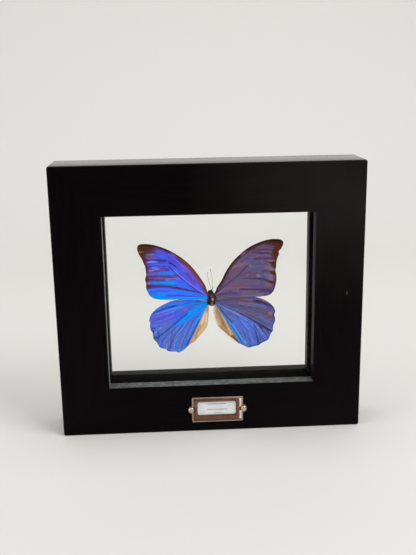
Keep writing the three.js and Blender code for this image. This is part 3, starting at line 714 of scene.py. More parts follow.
# the right forewing carries painted shade: dull violets, greys and rose stand for blue scales turned away
# from the light, with paler strokes of painted sheen
rightForewing = {
    "root": (6.5, 113.4), "veins": 11, "depth": -1.75, "side": 1, "field": "dusk", "bend": 29,
    "shimmer": ("steel", "heather", 0.5),
    "outline": [
        (4.4, 115.4), (5.3, 117.4), (6.6, 120.8), (10.3, 126.3), (14.7, 135.1), (20.1, 142.6),
        (25.1, 147.7), (30.1, 151.8), (35.1, 155), (40.1, 157.4), (45.1, 159.1), (50.1, 160.2),
        (55.1, 160.5), (59.7, 159.6), (61.5, 156.8), (59.8, 152.4), (57.6, 149.8), (58.1, 147.9),
        (56.8, 144.8), (55.9, 141), (55.7, 137.3), (55.1, 133.9), (55.8, 130.2), (56, 126.8), (55.6, 123),
        (54.3, 118), (52.6, 115), (50, 112.9), (45.1, 111.8), (38, 111.5), (28, 111.6), (18, 111.1),
        (10, 110.3), (4.4, 109.9),
    ],
    "ridges": [
        [(6.2, 116.4), (9.6, 124), (16.8, 135), (24.8, 144.4), (32.6, 151)],
        [(6.6, 115.6), (12.6, 124.5), (21.4, 135.4), (29.4, 143.8), (41, 153.4), (53, 158.6)],
        [(29.4, 143.8), (43, 152), (59, 154)],
        [(32.6, 145), (46, 150), (57.6, 148.4)],
        [(36.4, 144), (45.6, 146), (56.2, 143)],
        [(35.8, 140), (45, 139.4), (55.5, 137.6)],
        [(28.6, 132.4), (40, 132), (55, 131)],
        [(13, 118), (24, 121.6), (36, 127.2), (44, 127), (49, 125), (55.4, 122.8)],
        [(6.6, 113.4), (18, 114.4), (34, 115.6), (53, 116.6)],
        [(6.8, 114.4), (13.4, 119.6), (20, 125), (28.2, 132.8), (36.4, 140), (32.6, 145)],
    ],
}
rightForewing["strokes"] = [
    ("heather", 9, 0.6, [(30, 146), (48, 150)]),
    ("slate", 7, 0.7, [(34, 142), (44, 134), (46, 130)]),
    ("steel", 2.6, 0.6, [(44, 132), (45, 127.8)]),
    ("slate", 3, 0.7, [(27, 137.4), (40, 136.8)]),
    ("paintedSheen", 3.2, 0.6, [(50, 142), (52, 134), (51, 126)]),
    ("indigo", 2.4, 0.7, [(22, 143.4), (29, 144.6)]),
    ("rose", 2, 0.5, [(20, 137.6), (25, 139.4), (30, 140.6)]),
    ("grape", 1, 0.5, [(36, 151.4), (52, 151.2)]),
    ("shade", 1, 0.6, [(40, 149), (53, 148.6)]),
    ("paintedSheen", 1.2, 0.5, [(38, 147.4), (51, 146.6)]),
    ("grape", 1.2, 0.55, [(36, 143.8), (52, 144.2)]),
    ("paintedSheen", 1.3, 0.4, [(44, 141.4), (51, 141)]),
    ("steel", 1.2, 0.6, [(46, 138), (52, 137)]),
    ("rose", 1.5, 0.35, [(40, 129.8), (42, 129)]),
    ("paintedSheen", 1.5, 0.5, [(34, 138), (36, 137.6)]),
    ("paintedSheen", 1, 0.7, [(53.2, 135.4), (53.8, 134.2)]),
    ("heather", 4, 0.5, [(12, 124), (22, 134)]),
    ("slate", 2.6, 0.7, [(24, 127), (36, 125.4), (45, 124.8)]),
    ("grape", 1.2, 0.8, [(36, 127.2), (44, 127), (49, 125), (54.6, 122.8)]),
    ("heather", 3, 0.8, [(14, 121.6), (28, 123), (40, 122.6)]),
    ("indigo", 1.4, 0.4, [(30, 120.6), (46, 121)]),
    ("rose", 1.6, 0.35, [(10, 118.8), (22, 119.4), (34, 119.2)]),
    ("shade", 1.4, 0.7, [(26, 118.2), (38, 117.6), (50, 118)]),
    ("paintedSheen", 1, 0.5, [(20, 116.8), (40, 116.2)]),
    ("grape", 0.9, 0.6, [(42, 117), (52, 115.4)]),
    ("indigo", 1.6, 0.7, [(44, 114.4), (51.6, 114.6)]),
    ("steel", 2.4, 0.85, [(6.4, 113), (14, 113.6), (24, 113.2), (32, 112.8)]),
    ("paintedSheen", 1.6, 0.6, [(26, 114.8), (36, 114.2), (44, 113)]),
    ("grape", 0.9, 0.5, [(8, 114.8), (22, 115)]),
    ("rose", 0.7, 0.9, [(6.6, 115), (9, 116.4), (12.4, 118.4)]),
    ("shade", 1, 0.5, [(9.6, 121), (12, 126), (16, 133)]),
    ("indigo", 1.2, 0.6, [(8, 118.6), (11, 121.4), (13, 125)]),
    ("slate", 2.6, 0.7, [(33.6, 142.9), (37.6, 141.8), (39.2, 139.7)]),
    ("paintedSheen", 1.2, 0.5, [(33.2, 139.8), (34.4, 137.7)]),
    ("paintedSheen", 1, 0.5, [(31.2, 135.8), (33.2, 135.1)]),
    ("slate", 2, 0.6, [(43.2, 142), (46.4, 139.5)]),
    ("steel", 1.6, 0.6, [(39.2, 134.8), (46.4, 133.8)]),
    ("rose", 1, 0.5, [(19.7, 137.2), (24.1, 138.2), (28, 139.4)]),
    ("rose", 0.8, 0.55, [(24.9, 139.9), (29.2, 140.7)]),
    ("indigo", 0.8, 0.7, [(24.1, 143.2), (29.7, 144.8), (33.6, 143.5)]),
    ("rose", 1.4, 0.35, [(33.6, 145.9), (36.8, 145)]),
    ("slate", 0.7, 0.6, [(37.6, 147.9), (44.8, 147.3), (51.1, 146.3)]),
    ("grape", 0.6, 0.6, [(36, 149.5), (44.8, 148.8), (51.9, 147.5)]),
    ("grape", 0.55, 0.6, [(37.6, 144.8), (46.4, 144.7), (53.5, 143.8)]),
    ("paintedSheen", 0.8, 0.5, [(44, 150.6), (51.1, 150)]),
    ("grape", 0.5, 0.6, [(39.2, 151.9), (46.3, 151.6), (52.7, 150.8)]),
    ("paintedSheen", 0.7, 0.4, [(40, 155.5), (46.3, 155)]),
    ("grape", 0.7, 0.7, [(45.6, 141.8), (49.6, 141), (52.8, 140.6)]),
    ("paintedSheen", 1.6, 0.55, [(46.4, 137), (51.2, 135.7)]),
    ("grape", 0.6, 0.7, [(44.8, 133.6), (49.6, 133), (52.8, 132.1)]),
    ("paintedSheen", 1.2, 0.8, [(40.3, 129.4), (41.3, 129.3)]),
    ("paintedSheen", 0.8, 0.6, [(31.2, 131), (32, 130.6)]),
    ("rose", 1.9, 0.35, [(46.4, 130.5), (49.6, 129.1)]),
    ("shade", 0.6, 0.9, [(6.3, 116.4), (11.1, 120.2), (17.6, 125.4), (24, 130.4), (28, 134.5),
                         (32.8, 139.2)]),
    ("rose", 0.6, 0.45, [(7.5, 115.5), (11.9, 118.5), (16.7, 120)]),
    ("grape", 0.6, 0.9, [(28, 127.8), (36, 127.4), (44.8, 126.7), (49.6, 125.4), (53.6, 123.5)]),
    ("slate", 1.5, 0.8, [(28, 126), (36, 125.9), (44.8, 125.2)]),
    ("heather", 1.6, 0.6, [(20.8, 123.2), (30.4, 123.4), (39.2, 123)]),
    ("rose", 1.3, 0.5, [(47.2, 122.6), (50.4, 121.7)]),
    ("grape", 0.6, 0.8, [(25.6, 118.1), (35.2, 118.3), (44.8, 117.6), (51.3, 116.2)]),
    ("indigo", 0.9, 0.7, [(35.2, 120.4), (43.2, 119.8), (49.6, 118.9)]),
    ("slate", 1.2, 0.8, [(6.2, 112.4), (13.5, 113.9), (25.5, 114.1), (39.2, 113.9)]),
    ("shade", 0.5, 0.7, [(7.8, 113.9), (17.5, 115.6), (28, 116.2)]),
    ("paintedSheen", 0.8, 0.5, [(27.1, 112.7), (36.8, 112.6), (44.8, 112.7)]),
    ("bark", 0.55, 0.75, [(6, 110), (10, 110.3), (18, 111.1), (28, 111.6), (34, 111.5)]),
    ("brown", 6.4, 1, [(52, 159.6), (61, 156)]),
    ("brown", 4.4, 0.9, [(58.4, 155.6), (57, 151), (56.4, 148)]),
    ("umber", 2.2, 0.95, [(58, 148), (56.6, 144.6), (55.6, 141), (55.6, 137)]),
    ("brown", 2.6, 0.9, [(56.4, 147.6), (54.8, 147)]),
    ("brown", 2.8, 0.9, [(56, 140.2), (53.8, 139.2)]),
    ("umber", 2.4, 1, [(55.6, 133.4), (56.4, 130.6), (56.2, 127.4)]),
    ("brown", 2.6, 0.95, [(56, 131.4), (53.6, 131.6)]),
    ("umber", 1.9, 0.9, [(56, 125.6), (55.4, 122.4), (55, 120.4)]),
    ("umber", 1.5, 0.95, [(53.5, 150.7), (54.3, 147.5), (55, 144.2)]),
    ("umber", 1, 0.9, [(51.8, 147.1), (53.9, 146.2)]),
    ("umber", 1.1, 0.95, [(50.2, 140.6), (52.8, 140), (54.8, 139.3)]),
    ("brown", 1.7, 1, [(51.6, 132.8), (54, 131.4), (55, 130.7)]),
    ("brown", 1.3, 1, [(50.4, 124.1), (52.8, 123.7), (54.8, 122.8)]),
    ("grape", 1.6, 0.9, [(54.8, 119.4), (53.4, 116), (51, 113.6)]),
    ("soot", 2.8, 1, [(32, 153), (38, 156.4), (45.1, 159.2), (52, 160.5), (59.7, 159.8)]),
    ("umber", 1.8, 0.7, [(8, 121.4), (11.2, 126), (15.6, 134.6), (21, 142), (26, 147)]),
    ("soot", 1.5, 1, [(5.6, 116.4), (6.6, 120.8), (10.3, 126.3), (14.7, 135.1), (20.1, 142.6),
                      (25.1, 147.7), (30.1, 151.8), (36, 155.4)]),
    ("rose", 0.9, 0.85, [(27, 147.8), (30, 149.4)]),
    ("shade", 0.8, 0.7, [(28.6, 147), (34, 151.4), (39, 153.6)]),
]

leftHindwing = {
    "root": (-3, 106.6), "veins": 10, "depth": -0.6, "side": -1, "field": "iris",
    "shimmer": ("azure", "violet", 0.3), "foldLine": [(-1.8, 104.4), (-17.3, 71.9)],
    "outline": [
        (-0.4, 109.3), (-3.4, 110), (-10.2, 111.2), (-20.2, 111.2), (-30.2, 109.9), (-36, 108), (-40, 106),
        (-43.5, 103.9), (-46.8, 101.1), (-48.7, 98.9), (-50.1, 96.1), (-50.7, 93.7), (-50, 91.4),
        (-50.2, 88.6), (-49.8, 85.2), (-48.3, 82.7), (-47.8, 79.4), (-47.5, 76.9), (-45.6, 74.5),
        (-44, 72.3), (-42.9, 69.9), (-41, 68.6), (-37.7, 67.8), (-36, 66), (-33.5, 65.2), (-29.3, 65.1),
        (-26.8, 64.2), (-24.3, 65.1), (-21.4, 67.1), (-18.5, 69.6), (-16, 71.4), (-12.3, 73.5),
        (-8.9, 77.4), (-6, 80), (-2.9, 83.9), (-1.6, 88.4), (-1, 93), (-0.8, 98), (-0.6, 103.8),
    ],
    "ridges": [
        [(-3, 107.4), (-14, 108), (-28, 106.2), (-40, 102.4), (-48.5, 98.4)],
        [(-6, 106.6), (-18, 104.4), (-34, 98), (-50, 91.6)],
        [(-14, 102.8), (-28, 95.6), (-42, 88.6), (-49.8, 85.4)],
        [(-5, 105.8), (-18, 100.4), (-25, 94.4), (-31, 88.5), (-42, 79), (-47, 75.8)],
        [(-22, 92), (-33, 81), (-42, 70)],
        [(-16, 93), (-28, 78), (-34, 66)],
        [(-10, 96), (-20, 82), (-28, 66)],
        [(-5, 100.4), (-11, 89), (-19.6, 70.4)],
    ],
}
leftHindwing["strokes"] = [
    ("cobalt", 9, 0.5, [(-44, 96), (-26, 101), (-12, 104)]),
    ("violet", 4, 0.25, [(-46, 96), (-44, 89)]),
    ("violet", 5, 0.3, [(-38, 98), (-40, 92)]),
    ("blue", 3, 0.5, [(-34, 97), (-24, 98)]),
    ("iris", 8, 0.5, [(-34, 78), (-22, 76)]),
    ("blue", 3, 0.5, [(-24, 84), (-20, 94)]),
    ("sky", 2.2, 0.95, [(-46, 101), (-41, 104.4), (-36, 106.6), (-26, 108.4), (-14, 108.6), (-4, 107.4)]),
    ("azure", 1.5, 0.8, [(-38, 105.6), (-30, 107.4)]),
    ("cobalt", 1, 0.8, [(-34, 104.8), (-26, 106.4), (-18, 107.4), (-8, 107)]),
    ("azure", 1.5, 1, [(-28, 104.6), (-21, 106), (-13, 106.6)]),
    ("plum", 0.6, 0.7, [(-47, 100), (-41, 102.2), (-34, 104), (-29, 105.2)]),
    ("sky", 2.4, 0.7, [(-36, 102.6), (-28, 103.2), (-20, 103.6)]),
    ("lilac", 1.5, 0.5, [(-24, 102), (-20, 101.6)]),
    ("azure", 3.4, 1, [(-3.4, 106.2), (-9, 103), (-15, 99.8)]),
    ("azure", 3.4, 1, [(-12, 101.4), (-18, 97.4), (-21.4, 94.8)]),
    ("azure", 2.2, 0.8, [(-21, 94.4), (-25, 91.6), (-30, 88.4)]),
    ("sky", 3, 0.6, [(-10, 99), (-18, 94)]),
    ("azure", 1.5, 1, [(-2.3, 104.1), (-5.2, 100), (-7.4, 96.2), (-11.2, 91.9), (-13.2, 87.9)]),
    ("mist", 1.3, 0.9, [(-12.2, 90), (-15.7, 83.5), (-19.4, 74.6)]),
    ("cobalt", 0.8, 0.6, [(-4, 104), (-9, 97), (-15, 88)]),
    ("iris", 1, 0.8, [(-17, 84), (-19.6, 77), (-21, 71.6)]),
    ("mist", 1.2, 0.5, [(-22.4, 72), (-21.4, 80), (-19, 87)]),
    ("mauve", 0.7, 0.45, [(-34, 66.6), (-32.6, 74), (-30.6, 82), (-26, 88)]),
    ("glint", 0.9, 0.5, [(-31.4, 68), (-29.8, 76), (-27, 84)]),
    ("mauve", 0.8, 0.45, [(-40.6, 72), (-39, 78), (-35, 84.6)]),
    ("sky", 1.2, 0.5, [(-43, 71.4), (-42, 75.4), (-40.4, 79)]),
    ("glint", 1.1, 0.8, [(-37, 68.4), (-36.6, 71.8)]),
    ("sky", 1.6, 0.5, [(-29, 66.4), (-25.6, 65.6), (-24, 67.6)]),
    ("glint", 0.8, 0.7, [(-46.6, 79), (-45, 83.6), (-41, 87)]),
    ("denim", 1, 0.85, [(-47.6, 84), (-46.8, 80.6), (-47, 78)]),
    ("denim", 0.8, 0.8, [(-48.6, 86.4), (-46.6, 86.2)]),
    ("plum", 0.9, 0.6, [(-44, 84), (-43, 79), (-44, 75.6)]),
    ("denim", 0.9, 0.7, [(-44.4, 73), (-43, 69.8), (-40.8, 68.8)]),
    ("violet", 1, 0.7, [(-49, 98.6), (-50.6, 93.8), (-50, 88.6), (-48.4, 83)]),
    ("denim", 0.6, 0.6, [(-37.6, 67.8), (-33.5, 65.3), (-29.4, 65.2)]),
    ("blue", 1.4, 0.8, [(-47.1, 102.4), (-42.3, 105.2), (-32.2, 107.6), (-21.5, 109.2), (-10.7, 109.2)]),
    ("denim", 0.6, 0.95, [(-47.2, 99.7), (-41, 102.1), (-32.3, 104.8), (-23.7, 106), (-16.5, 106.9),
                          (-7.8, 108.5)]),
    ("azure", 0.9, 1, [(-26.6, 105.2), (-19.4, 106.2), (-10.7, 107.1), (-5, 107.2)]),
    ("cobalt", 0.45, 0.8, [(-23, 104.1), (-15.1, 105.8), (-6.4, 106.3)]),
    ("glint", 0.6, 0.6, [(-46.1, 98.4), (-38.9, 100.7), (-30.2, 103), (-22.3, 103.9)]),
    ("mauve", 1, 0.6, [(-26.6, 102.9), (-21.6, 102.6), (-17.3, 103.2)]),
    ("violet", 3, 0.2, [(-43.4, 93.6), (-36.2, 95.6), (-30.4, 98.4)]),
    ("glint", 0.5, 0.5, [(-47.6, 96.1), (-38.2, 98.3), (-29.6, 100.6)]),
    ("glint", 0.5, 0.5, [(-46.4, 91.5), (-38.4, 93.4), (-30.4, 96.5)]),
    ("glint", 0.5, 0.35, [(-47.2, 88.5), (-40, 89.7), (-33.4, 92.5)]),
    ("azure", 1.6, 1, [(-3.6, 105.2), (-10.8, 101.4), (-18.1, 97.2), (-24, 92.9)]),
    ("azure", 1.5, 1, [(-4.3, 102.6), (-10.9, 98.8), (-18.2, 93.8), (-26.3, 89.5)]),
    ("blue", 0.5, 0.8, [(-4.3, 104.5), (-10.9, 99.5), (-17.5, 95)]),
    ("cobalt", 1.5, 0.8, [(-20.6, 97.9), (-26.6, 93), (-31, 89.4)]),
    ("denim", 0.6, 0.85, [(-18.4, 98), (-21.8, 95.6), (-27.7, 90.7), (-33.6, 86.3), (-40.2, 81.2),
                          (-45, 77.8)]),
    ("iris", 3.4, 0.7, [(-30.7, 84), (-33.1, 76.5), (-33.3, 70.4)]),
    ("iris", 3.2, 0.7, [(-24.2, 85.3), (-25.9, 76.2), (-27.5, 68.6)]),
    ("glint", 0.5, 0.6, [(-19.7, 90.4), (-25.7, 82.3), (-29.6, 73.3), (-31.2, 67.2)]),
    ("denim", 0.45, 0.7, [(-22.7, 88.3), (-29.4, 80.2), (-33.2, 71.9), (-34.5, 66.6)]),
    ("glint", 0.5, 0.6, [(-25.6, 87.6), (-33, 80.3), (-39, 73.7)]),
    ("denim", 0.4, 0.6, [(-28.5, 86.6), (-35.9, 79.7), (-41.2, 73.8)]),
    ("glint", 0.5, 0.6, [(-15.4, 90.2), (-20.7, 80.6), (-24.5, 72.3), (-26.8, 66.2)]),
    ("denim", 0.45, 0.7, [(-13.9, 92.4), (-18.5, 82.8), (-22.3, 74.5), (-24.6, 67.7)]),
    ("sky", 0.7, 0.7, [(-11, 95.4), (-15.5, 86.4), (-20, 77.5), (-23.1, 69.9)]),
    ("plum", 0.5, 0.6, [(-31.5, 83.3), (-32.8, 76.5), (-33.9, 68.8)]),
    ("sky", 1.2, 0.8, [(-41, 78.4), (-42.6, 73.8), (-40.6, 69.9)]),
    ("glint", 0.5, 0.8, [(-45.5, 83.9), (-47.1, 80.9)]),
    ("mist", 0.9, 0.8, [(-34.8, 67.4), (-29, 65.9), (-23.9, 66.9)]),
    ("denim", 0.85, 0.5, [(-8.5, 92.6), (-11.1, 86.6), (-14.6, 80.1), (-17.8, 75.3)]),
    ("denim", 0.6, 0.9, [(-17.4, 75.3), (-20.2, 70.4)]),
    ("sky", 0.5, 0.7, [(-13.8, 79.7), (-15.8, 76.1), (-17.9, 72.4)]),
    ("cyan", 0.7, 0.7, [(-3.6, 102.4), (-6.8, 96.6), (-9, 92.8)]),
    ("tan", 1.1, 1, [(-3, 109.4), (-10.2, 110.9), (-20.2, 111.1), (-28, 110.4)]),
    ("bark", 0.7, 0.95, [(-14, 111.4), (-22, 111.1), (-30.2, 110), (-36, 108.1), (-41, 105.5)]),
]
# the cream strokes paint the whitish sheen along the inner edge of the fold over its tan
leftHindwing["foldStrokes"] = [
    ("foldSheen", 2.4, 0.9, [(-4.9, 98.9), (-5, 93.2), (-6.6, 89.2)]),
    ("foldSheen", 1.4, 0.8, [(-2.6, 97.2), (-2.9, 89.1)]),
    ("sand", 2.2, 0.9, [(-3.5, 86.7), (-6.7, 81.9), (-9.9, 79.5)]),
    ("toffee", 1, 0.6, [(-9.4, 83.6), (-11, 80.4), (-12.7, 76)]),
    ("toffee", 0.45, 0.4, [(-6.7, 92.2), (-8.2, 87.7), (-10.5, 82.4)]),
    ("toffee", 0.4, 0.3, [(-3.7, 97.3), (-4.5, 91.3), (-6, 86.1)]),
    ("amber", 1, 0.9, [(-18.4, 69.8), (-17.1, 71.4), (-15.3, 74)]),
    ("bark", 0.5, 0.8, [(-1.1, 102.5), (-0.8, 95.7), (-0.8, 89.6), (-2.6, 84.2)]),
]

# the right hindwing carries painted shade: slate, dusk and grey violet stand for blue scales turned away from
# the light, with paler strokes of painted sheen
rightHindwing = {
    "root": (6.6, 106.8), "veins": 10, "depth": -0.6, "side": 1, "field": "iris",
    "shimmer": ("blue", "dusk", 0.3), "foldLine": [(5.5, 104.2), (25.6, 70)],
    "outline": [
        (4.2, 109.2), (6.6, 110), (10, 110.9), (20, 111.6), (30, 111.6), (40, 110.7), (45, 109),
        (49.3, 106.5), (52.6, 103.6), (54.5, 100.6), (55.2, 97.8), (54.5, 95.2), (55.1, 92.6), (55.1, 89.2),
        (54, 86.6), (53.4, 84), (53.5, 81.1), (51.8, 78.6), (50.9, 76.1), (49.5, 73.3), (47.2, 71.9),
        (44.3, 70.6), (41.3, 68.3), (37.2, 67.4), (33, 66.5), (30.2, 67.6), (27.2, 69.2), (24.7, 70.2),
        (22.6, 71.7), (19.3, 74.3), (14.7, 77.8), (11.8, 80.6), (8.2, 83.8), (6, 87.6), (4.8, 92.8),
        (3.6, 97.8), (3.2, 101.4), (4, 104.2),
    ],
    "ridges": [
        [(6.4, 107.6), (20, 109), (34, 107.4), (46, 104), (54, 99)],
        [(9, 106.8), (24, 104.6), (40, 98.4), (55, 92.4)],
        [(14, 105), (30, 100.4), (44, 93), (54.8, 88.2)],
        [(7, 106.4), (20, 100.8), (33, 93.5), (46, 85), (53, 80.6)],
        [(34, 93), (42, 86.6), (50, 75)],
        [(22, 96.6), (34, 84), (41.6, 69.6)],
        [(15, 98), (26, 84), (34, 67.6)],
        [(8.4, 101.6), (17, 87.6), (27.6, 70)],
    ],
}
rightHindwing["strokes"] = [
    ("slate", 12, 0.95, [(14, 108), (30, 103), (48, 95)]),
    ("dusk", 3, 0.6, [(22, 110), (36, 109.4), (46, 106.4)]),
    ("shade", 1.7, 0.85, [(38, 107.6), (46, 105.4), (52, 102)]),
    ("paintedSheen", 0.9, 0.9, [(44, 108.6), (49, 106)]),
    ("paintedSheen", 2, 0.4, [(26, 106), (34, 105.4)]),
    ("steel", 2, 0.7, [(8, 108), (18, 109), (28, 108.8)]),
    ("indigo", 1.5, 0.6, [(10, 107), (22, 106.6)]),
    ("dusk", 3, 0.6, [(50, 101), (53, 92), (51, 86)]),
    ("rose", 2, 0.7, [(50.4, 97), (51.4, 95.4)]),
    ("grape", 1.5, 0.85, [(53, 103), (55.2, 98), (54.6, 95), (55.2, 90), (53.6, 84)]),
    ("paintedSheen", 1.4, 0.5, [(42, 94), (50, 89.4)]),
    ("dusk", 1.2, 0.5, [(40, 102), (50, 98)]),
    ("iris", 6, 0.9, [(22, 94), (34, 84), (38, 75)]),
    ("indigo", 4, 0.5, [(18, 98), (26, 88), (30, 76)]),
    ("iris", 4, 0.8, [(36, 86), (40, 78), (38, 71)]),
    ("blue", 2.4, 0.25, [(36, 80), (38, 73)]),
    ("glint", 0.8, 0.5, [(9.6, 104.4), (14, 101), (20, 98.4), (27, 95)]),
    ("glint", 0.8, 0.45, [(21, 99.2), (26, 96.4), (32, 93)]),
    ("slate", 1.1, 0.6, [(25, 99.8), (33, 95.8), (40, 91.6), (48, 85.8)]),
    ("grape", 0.8, 0.6, [(8, 104.6), (13, 100.6), (18, 93), (20, 89)]),
    ("shade", 0.9, 0.8, [(41.4, 87.4), (46, 80.4), (49.4, 74.4)]),
    ("shade", 0.7, 0.6, [(46.6, 84), (50.4, 78)]),
    ("denim", 0.8, 0.6, [(37.6, 84), (40, 77), (41.4, 70.4)]),
    ("denim", 0.7, 0.6, [(43, 77), (46, 72.4)]),
    ("denim", 0.7, 0.5, [(31, 80), (34, 72), (34.4, 67.6)]),
    ("glint", 0.9, 0.4, [(28, 86), (33, 76)]),
    ("denim", 1, 0.7, [(49.4, 73.6), (44.4, 71), (41, 68.8), (33, 67)]),
    ("slate", 2.2, 0.6, [(7, 105.4), (12, 99.4), (17, 92.6)]),
    ("dusk", 3, 0.7, [(15.8, 107.5), (25.2, 107.7), (33.8, 106.7)]),
    ("paintedSheen", 1, 0.35, [(25.2, 106.7), (32.4, 105.6), (41.8, 103.8)]),
    ("bark", 0.7, 0.6, [(25.9, 110.1), (31.7, 109.1), (36, 108.1)]),
    ("shade", 1.3, 0.95, [(40.3, 107.8), (44.7, 106.6), (49.8, 104)]),
    ("paintedSheen", 0.6, 0.9, [(44, 107.8), (47.6, 106.8), (51.2, 104.7)]),
    ("steel", 1.2, 0.7, [(12.9, 106.1), (20.1, 103.7), (30.2, 101.1)]),
    ("heather", 2.2, 0.7, [(41.8, 100.8), (47.6, 98.4), (51.3, 92.2)]),
    ("rose", 1.3, 0.8, [(49.8, 96.1), (52, 96.6)]),
    ("slate", 1.4, 0.7, [(31.6, 98.1), (40.4, 93.3), (47.6, 88.5)]),
    ("heather", 0.6, 0.6, [(23, 102.1), (33.8, 99.2), (44.7, 95.4)]),
    ("grape", 0.45, 0.6, [(24.4, 104.3), (35.3, 102.1), (46.1, 100)]),
    ("grape", 0.45, 0.6, [(30.2, 96.6), (38.9, 92.6), (47.6, 87)]),
    ("shade", 0.8, 1, [(7.9, 106.1), (15.8, 102.3), (23, 98.3), (32.4, 93.4), (40.4, 88.4), (47.6, 83.8),
                       (52.9, 80.4)]),
    ("shade", 1.1, 0.9, [(44.7, 85.2), (49.1, 82.4), (52.8, 80)]),
    ("glint", 0.4, 0.7, [(7.2, 106.9), (12.2, 103.1), (19.4, 98.3), (27.3, 93.5), (32.4, 90.1)]),
    ("glint", 0.4, 0.7, [(12.2, 104.6), (17.9, 101.1), (25.1, 96.7)]),
    ("iris", 2.4, 0.8, [(20, 93.1), (28.7, 85.2), (33, 75.9)]),
    ("iris", 2.2, 0.7, [(25.1, 90.7), (34.5, 82), (37.4, 74.3)]),
    ("blue", 1.2, 0.35, [(33.1, 88.2), (36.7, 82), (38.9, 74.2)]),
    ("glint", 0.5, 0.4, [(17.9, 95.4), (25.1, 85.3), (30.1, 72.9)]),
    ("indigo", 0.45, 0.7, [(16.4, 95.5), (22.9, 85.4), (27.9, 74.5)]),
    ("glint", 0.5, 0.4, [(25.1, 93), (33.1, 82.1), (36.7, 71.2)]),
    ("indigo", 0.45, 0.7, [(22.9, 93.8), (30.2, 83.7), (33.8, 71.3)]),
    ("indigo", 0.5, 0.7, [(31.6, 89.7), (37.4, 81.9), (40.7, 72.6)]),
    ("glint", 0.5, 0.6, [(38.5, 87.1), (43.3, 80.2), (47.7, 75.5)]),
    ("cyan", 0.45, 0.9, [(44.7, 82.5), (47.3, 78.6), (48.8, 76.2)]),
    ("shade", 0.45, 0.9, [(41.8, 85.6), (46.2, 79.4), (49.1, 74.7)]),
    ("shade", 0.45, 0.8, [(37.4, 86.5), (41.8, 78.8), (42.9, 72.6)]),
    ("denim", 0.5, 0.8, [(39.6, 77.3), (40.4, 72.6), (40.7, 69.5)]),
    ("grape", 0.6, 0.9, [(8.6, 103.2), (12.1, 97.8), (15.7, 93.2), (18.6, 89.3)]),
    ("glint", 0.4, 0.6, [(7.9, 105.5), (12.1, 99.7), (17.1, 93.2), (21.4, 87.7)]),
    ("cyan", 0.5, 0.8, [(5.5, 104.8), (8.6, 99.2), (12.1, 93.8)]),
    ("cyan", 0.85, 0.9, [(12.1, 93.8), (16.3, 88.5), (19.9, 82.4), (23.4, 75.5), (25.4, 71)]),
    ("cyan", 1.05, 0.8, [(15.4, 91), (19.9, 85), (24.2, 78.5), (28.4, 73.1), (30.6, 70.2)]),
    ("denim", 0.45, 0.8, [(14.5, 91.5), (18.2, 86.4), (22.1, 80.2), (26, 73.8)]),
    ("cyan", 0.6, 0.5, [(12.2, 102), (15, 97.5), (19.2, 92.2)]),
    ("dusk", 1.2, 1, [(7, 109.8), (10, 110.5), (20, 111.6), (30, 111.5), (40, 110.5)]),
    ("bark", 0.8, 0.9, [(8, 110.4), (20, 111.8), (30, 111.7), (40, 110.8), (45, 109), (49.3, 106.6)]),
]
# the cream strokes paint the whitish sheen along the inner edge of the fold over its tan
rightHindwing["foldStrokes"] = [
    ("toffee", 2.6, 0.5, [(8, 100), (11, 92), (14, 84.6)]),
    ("toffee", 1.1, 0.5, [(6.7, 101.8), (9.2, 94.1), (12, 86.5)]),
    ("sand", 1.6, 0.8, [(7.2, 90), (9, 84.8)]),
    ("foldSheen", 1.5, 1, [(3.5, 103), (4, 97.8), (4.8, 91.8), (6, 87.3)]),
    ("sand", 0.75, 0.95, [(7.3, 101.4), (10, 96.9), (13.1, 90.1), (16.3, 82.5), (18.8, 76.8)]),
    ("toffee", 0.6, 0.6, [(8.4, 85.8), (12.7, 81.1), (17.7, 76.4)]),
    ("chestnut", 1.5, 0.95, [(19.2, 77), (21.7, 73.9), (25.4, 70.6)]),
]

wings = {"forewing_left": leftForewing, "forewing_right": rightForewing,
         "hindwing_left": leftHindwing, "hindwing_right": rightHindwing}

# the underside, drawn for the left wings and mirrored for the right ones
earth = {
    "base": (118, 92, 66), "dark": (72, 52, 36), "pale": (178, 156, 124), "ash": (150, 132, 112),
    "black": (22, 18, 16), "gold": (190, 150, 84), "white": (232, 226, 214), "red": (142, 72, 40),
}
underMarks = {
    "forewing": [
        ("dark", 9, 0.7, [(-6, 118), (-18, 130), (-30, 144)]),
        ("pale", 1.1, 0.8, [(-16, 128), (-19.6, 133.4)]),
        ("pale", 1.1, 0.8, [(-27, 138), (-30.6, 144.4)]),
        ("ash", 4, 0.7, [(-50, 154), (-38, 118), (-30, 113)]),
        ("pale", 2.2, 0.9, [(-42, 155.4), (-36, 146), (-34.6, 134), (-37, 124), (-40, 113)]),
        ("dark", 2.4, 0.8, [(-51.6, 152), (-48.6, 142), (-48, 132), (-47.4, 121)]),
        ("pale", 1.2, 0.8, [(-53.6, 151), (-50.6, 141), (-49.8, 132), (-49.6, 122)]),
        ("ash", 3, 0.9, [(-40, 113), (-10, 112)]),
    ],
    "hindwing": [
        ("dark", 7, 0.7, [(-6, 104), (-16, 98), (-22, 90)]),
        ("pale", 1.2, 0.9, [(-14, 108.6), (-16, 100), (-13, 91)]),
        ("pale", 1.5, 0.9, [(-28, 108), (-27, 98), (-22, 86), (-14, 78)]),
        ("dark", 3, 0.6, [(-36, 103), (-36, 90), (-30, 78), (-20, 72)]),
        ("pale", 1.3, 0.9, [(-45.6, 98), (-45.8, 88), (-42.6, 77), (-36, 70.4), (-27, 67.6)]),
        ("red", 0.9, 0.9, [(-47.6, 96), (-47.6, 87), (-44.6, 77), (-38, 70), (-28, 66.6)]),
    ],
}
underEyes = {
    "forewing": [(-43.6, 146, 2.3), (-42.6, 136.6, 3), (-43, 127, 2.6)],
    "hindwing": [(-34.4, 100.4, 3.6), (-36.4, 87, 2.8), (-31.4, 79.4, 2.6), (-23.6, 74.6, 2.2)],
}
eyeRings = ((1.25, "gold"), (1.0, "black"), (0.5, "red"), (0.26, "white"))


